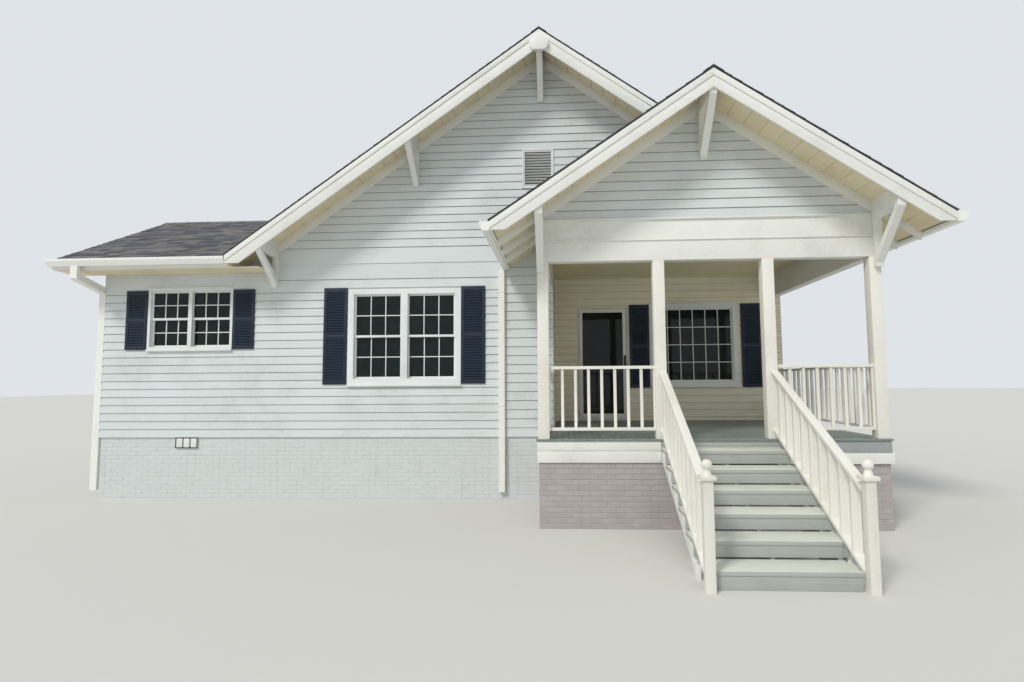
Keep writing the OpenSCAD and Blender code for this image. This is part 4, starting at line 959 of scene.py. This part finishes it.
# Thicker sloped arms for the downspouts of the wing, and the straps of the front downspout
arm = {"x0": -7.384, "x1": -7.27, "past": 0.004, "out": -0.596, "depth": 0.07, "drop": 0.309, "fall": 0.15,
       "thick": 0.1}
reach = arm["depth"] / 2
for way, wallY in ((1, 0), (-1, wingBack)):
    a = Vector(((arm["x0"] + arm["x1"]) / 2, wallY + way * (arm["out"] + reach), eaveZ - arm["drop"] + reach))
    b = Vector((a.x, wallY + way * reach, a.z - arm["fall"]))
    fittings.bar(a, b, arm["x1"] - arm["x0"] + arm["past"], arm["thick"])
for z in strap["pipeZ"]:
    fittings.box((strap["pipe"][0], -strap["pipeOut"], z), (strap["pipe"][1], 0, z + strap["pipeBand"]))
fittings.piece("gutter_straps", "metal", ease=0.001)

# The cover of the outdoor socket beside the door
outlet = {"x": (1.775, 1.845), "z": (1.56, 1.675), "out": (0.03, 0.01)}
cover = Pile()
cover.box(*[(outlet["x"][i], entryY - outlet["out"][i], outlet["z"][i]) for i in (0, 1)])
cover.piece("outlet_cover", "trim", ease=0.004)

# Dark pull over the handle of the storm door, with its two feet and its back plate
handle = {"x": 1.4735, "z": 2.085, "half": 0.011, "out": 0.048, "in": 0.026, "long": 0.19, "foot": 0.022,
          "skin": 0.0015, "plate": 0.02, "plateOut": 0.003, "past": 0.03}
pull = Pile()
x, z, skin, past, plate = (handle[k] for k in ("x", "z", "skin", "past", "plate"))
wide, top = handle["half"] + skin, z + handle["long"]
pull.box((x - wide, entryY - handle["out"] - skin, z - skin),
         (x + wide, entryY - handle["in"] + skin, top + skin))
for foot in (z, top - handle["foot"]):
    pull.box((x - wide, entryY - past, foot - skin), (x + wide, entryY, foot + handle["foot"] + skin))
pull.box((x - plate, entryY - handle["plateOut"], z - past), (x + plate, entryY, top + past))
pull.piece("door_pull", "handle", "storm_door_leaf", ease=0.0015)
print("windows and shutters finished")

# Porch floor boards in place of the plain slab
deckBoards = {"wide": 0.083, "gap": 0.002, "thick": 0.024, "nose": 0.025, "uneven": 0.0008}
deck = Pile()
wide, nose, gap = deckBoards["wide"], deckBoards["nose"], deckBoards["gap"] / 2
deckLow = floorZ - deckBoards["thick"]
x, deckEnd = -nose, porchRight + nose
while x < deckEnd - slack:
    right, back = min(x + wide, deckEnd), entryY if x + wide / 2 > entryX else 0
    worn = luck.uniform(-deckBoards["uneven"], 0)
    deck.box((x + gap, postFace - nose, deckLow), (right - gap, back, floorZ + worn))
    x += wide
deck.piece("porch_floor_boards", "deck", ease=0.004, stands=("porch_floor",))

# Narrow ceiling boards
ceiling = Pile()
ceilingBoard = {"start": 0.145, "step": 0.089, "wide": 0.085, "low": 0.028, "high": 0.02}
y = postFace + ceilingBoard["start"]
while y < entryY - 2 * slack:
    left = casing if y + ceilingBoard["wide"] < 0 else entryX
    ceiling.box((left, y, plateZ - ceilingBoard["low"]),
                (porchRight - casing, min(y + ceilingBoard["wide"], entryY), plateZ - ceilingBoard["high"]))
    y += ceilingBoard["step"]
ceiling.piece("ceiling_boards", "ceiling", ease=0.003)

# Left of the stair the base has two cream boards; right of it a grey board over a proud cream one
base = {"rows": ((0.813, 0.955), (0.96, 1.074)), "thick": 0.012, "cream": (0.8, 0.93),
        "creamOut": (0.028, 0.024), "grey": (0.932, 1.074), "greyOut": 0.008, "wallGap": 0.016}
skirt, skirtGrey = Pile(), Pile()
stairLeft, stairRight = 1.526, 2.987
for low, high in base["rows"]:
    skirt.box((-base["thick"], postFace - base["thick"], low), (stairLeft, postFace, high))
    skirt.box((-base["thick"], postFace, low), (0, -base["wallGap"], high))
(low, high), (ahead, aside) = base["cream"], base["creamOut"]
skirt.box((stairRight, postFace - ahead, low), (porchRight + aside, postFace, high))
skirt.box((porchRight, postFace, low), (porchRight + aside, entryY, high))
(low, high), proud = base["grey"], base["greyOut"]
skirtGrey.box((stairRight, postFace - proud, low), (porchRight + proud, postFace, high))
skirtGrey.box((porchRight, postFace, low), (porchRight + proud, entryY, high))
skirt.piece("porch_skirt_boards", "trim", ease=0.003)
skirtGrey.piece("porch_skirt_grey", "skirt", ease=0.003)

# The real stair is as wide as its newels: its treads and risers reach under both railings and lie on two
# notched side boards. Each riser stops just above the tread below, which leaves a dark joint
stair = {"treads": 6, "firstY": -2.12, "going": 0.356, "top": 0.99, "tread": 0.04, "riser": 0.02,
         "riserIn": 0.003, "nosing": 0.008, "joint": 0.015, "x0": 1.623, "x1": 2.89, "wide": 4,
         "notch": 0.024, "lastEnd": 2.958, "side": 0.038, "sideIn": 0.004, "sideDrop": 0.857,
         "sideSlope": 0.4767, "foot": -3.64, "topRiser": 0.01}
onSide = lambda y, x, z: (x, y, z)
treads, risers, sides = Pile(), Pile(), Pile()
rise = stair["top"] / stair["treads"]
thick, nosing, riser, short, notch = (stair[k] for k in ("tread", "nosing", "riser", "riserIn", "notch"))
for i in range(stair["treads"]):
    y, z = stair["firstY"] - i * stair["going"], stair["top"] - i * rise
    notched = i == stair["wide"]      # this tread is cut round the railings that come down on it
    left, right = (stairLeft, stairRight) if i < stair["wide"] else (stair["x0"], stair["x1"])
    back = postFace if i == 0 else y + stair["going"] + nosing
    low = 0 if i == stair["treads"] - 1 else z - rise + stair["joint"]
    parts = [(left, right, 0, nosing)]
    if notched:
        parts += [(stairLeft, left, notch, notch), (right, stair["lastEnd"], notch, notch)]
    for x0, x1, cut, riserIn in parts:
        treads.box((x0, y + cut, z - thick), (x1, back, z))
        risers.box((x0 + short, y + riserIn, low), (x1 - short, y + riserIn + riser, z - thick))
    if i <= stair["wide"]:
        near = y + nosing + riser + (notch if notched else 0)
        far = postFace if i == 0 else y + nosing + riser + stair["going"]
        under = [max(0, stair["sideDrop"] + (v - postFace) * stair["sideSlope"]) for v in (near, far)]
        ring = [(near, under[0]), (far, under[1]), (far, z - thick), (near, z - thick)]
        for x in (stairLeft + stair["sideIn"], stairRight - stair["sideIn"] - stair["side"]):
            sides.sweep(ring, onSide, x, x + stair["side"])
            if notched:
                sides.box((x, stair["foot"], 0), (x + stair["side"], near, z - rise - thick))
risers.box((stairLeft + short, postFace - stair["topRiser"], stair["top"] + stair["joint"]),
           (stairRight - short, postFace, deckLow - sliver))
treads.piece("tread_boards", "tread", ease=0.005, stands=("stair_treads",))
risers.piece("riser_boards", "riser", ease=0.002, stands=("stair_risers",))
sides.piece("stair_sides", "trim", ease=0.002)

# Ledges on the porch beam, over the lower facing board and over the frieze, each with its foot, its head and
# how far it stands proud
beamLedges = ((3.606, 3.612, 0.004), (3.612, 3.63, 0.016), (3.868, 3.882, 0.008), (3.882, 3.901, 0.026))
ledges = Pile()
for low, high, proud in beamLedges:
    inner = postFace if low < plateZ else gableFace
    ledges.box((-proud, postFace - proud, low), (porchRight + proud, inner, high))
    ledges.box((-proud, inner, low), (0, 0, high))
    ledges.box((porchRight, inner, low), (porchRight + proud, 0 if low > plateZ else entryY, high))
ledges.piece("beam_ledges", "trim", ease=0.002)
print("porch finished")

# Camera at the photograph's place, worked out from the corners of the house
view = {"place": (0.331, -9.146, 1.817), "yaw": 2.969, "pitch": 4.526, "roll": 0.388, "lens": 20.3,
        "sensor": 36, "shiftX": -0.02107, "shiftY": -0.00447, "far": 400}
yaw, pitch, roll = (math.radians(view[k]) for k in ("yaw", "pitch", "roll"))
forward = Vector((-math.sin(yaw) * math.cos(pitch), math.cos(yaw) * math.cos(pitch), math.sin(pitch)))
level = Vector((math.cos(yaw), math.sin(yaw), 0))
under = forward.cross(level)
rightward = math.cos(roll) * level + math.sin(roll) * under
downward = -math.sin(roll) * level + math.cos(roll) * under
lens = bpy.data.cameras.new("camera")
lens.lens, lens.sensor_width, lens.clip_end = view["lens"], view["sensor"], view["far"]
lens.shift_x, lens.shift_y = view["shiftX"], view["shiftY"]
camera = placed("camera", lens)
turn = Matrix((rightward, -downward, -forward)).transposed().to_4x4()
camera.matrix_world = Matrix.Translation(Vector(view["place"]) + siteShift) @ turn
bpy.context.scene.camera = camera

# Pale floor, one soft sun and a pale sky
studio = {"floor": (214, 213, 208), "patch": (206, 205, 200), "sky": (224, 228, 232), "fill": 0.8, "sun": 1.8,
          "sunAngle": 14, "sunTurn": (46, 0, -34), "sunTint": (1, 0.98, 0.95),
          "corners": [(-90, -60, 0), (90, -60, 0), (90, 120, 0), (-90, 120, 0)]}
floorMesh = bpy.data.meshes.new("studio_floor")
floorMesh.from_pydata(studio["corners"], [], [(0, 1, 2, 3)])
floorPaint = Finish("studio floor", studio["floor"])
floorPaint.tint(floorPaint.noise(floorPaint.place, 0.6, 4, 0.5) * 0.1, studio["patch"])
floorMesh.materials.append(floorPaint.surface(roughness=0.9, specular=0.1))
floor = placed("studio_floor", floorMesh)

lamp = bpy.data.lights.new("soft_sun", "SUN")
lamp.energy, lamp.angle, lamp.color = studio["sun"], math.radians(studio["sunAngle"]), studio["sunTint"]
placed("soft_sun", lamp).rotation_euler = [math.radians(a) for a in studio["sunTurn"]]

world = bpy.data.worlds.new("studio")
bpy.context.scene.world = world
world.use_nodes = True
backdrop = Graph(world.node_tree)
background = world.node_tree.nodes["Background"]


def rays(kind):
    return backdrop.node("ShaderNodeLightPath", {}, {}, kind)


# the sky is seen at full strength, straight and in glass, and lights the house a little less
seen = rays("Is Camera Ray")
for kind in ("Is Glossy Ray", "Is Transmission Ray"):
    seen = seen.mathNode("MAXIMUM", seen, rays(kind))
strength = backdrop.node("ShaderNodeMix", {"data_type": "FLOAT"}, {0: seen, 2: studio["fill"], 3: 1.0})
backdrop.feed(background.inputs["Strength"], strength)
backdrop.feed(background.inputs["Color"], studio["sky"])
bpy.context.scene.view_settings.view_transform = "Standard"

print("scene ready")
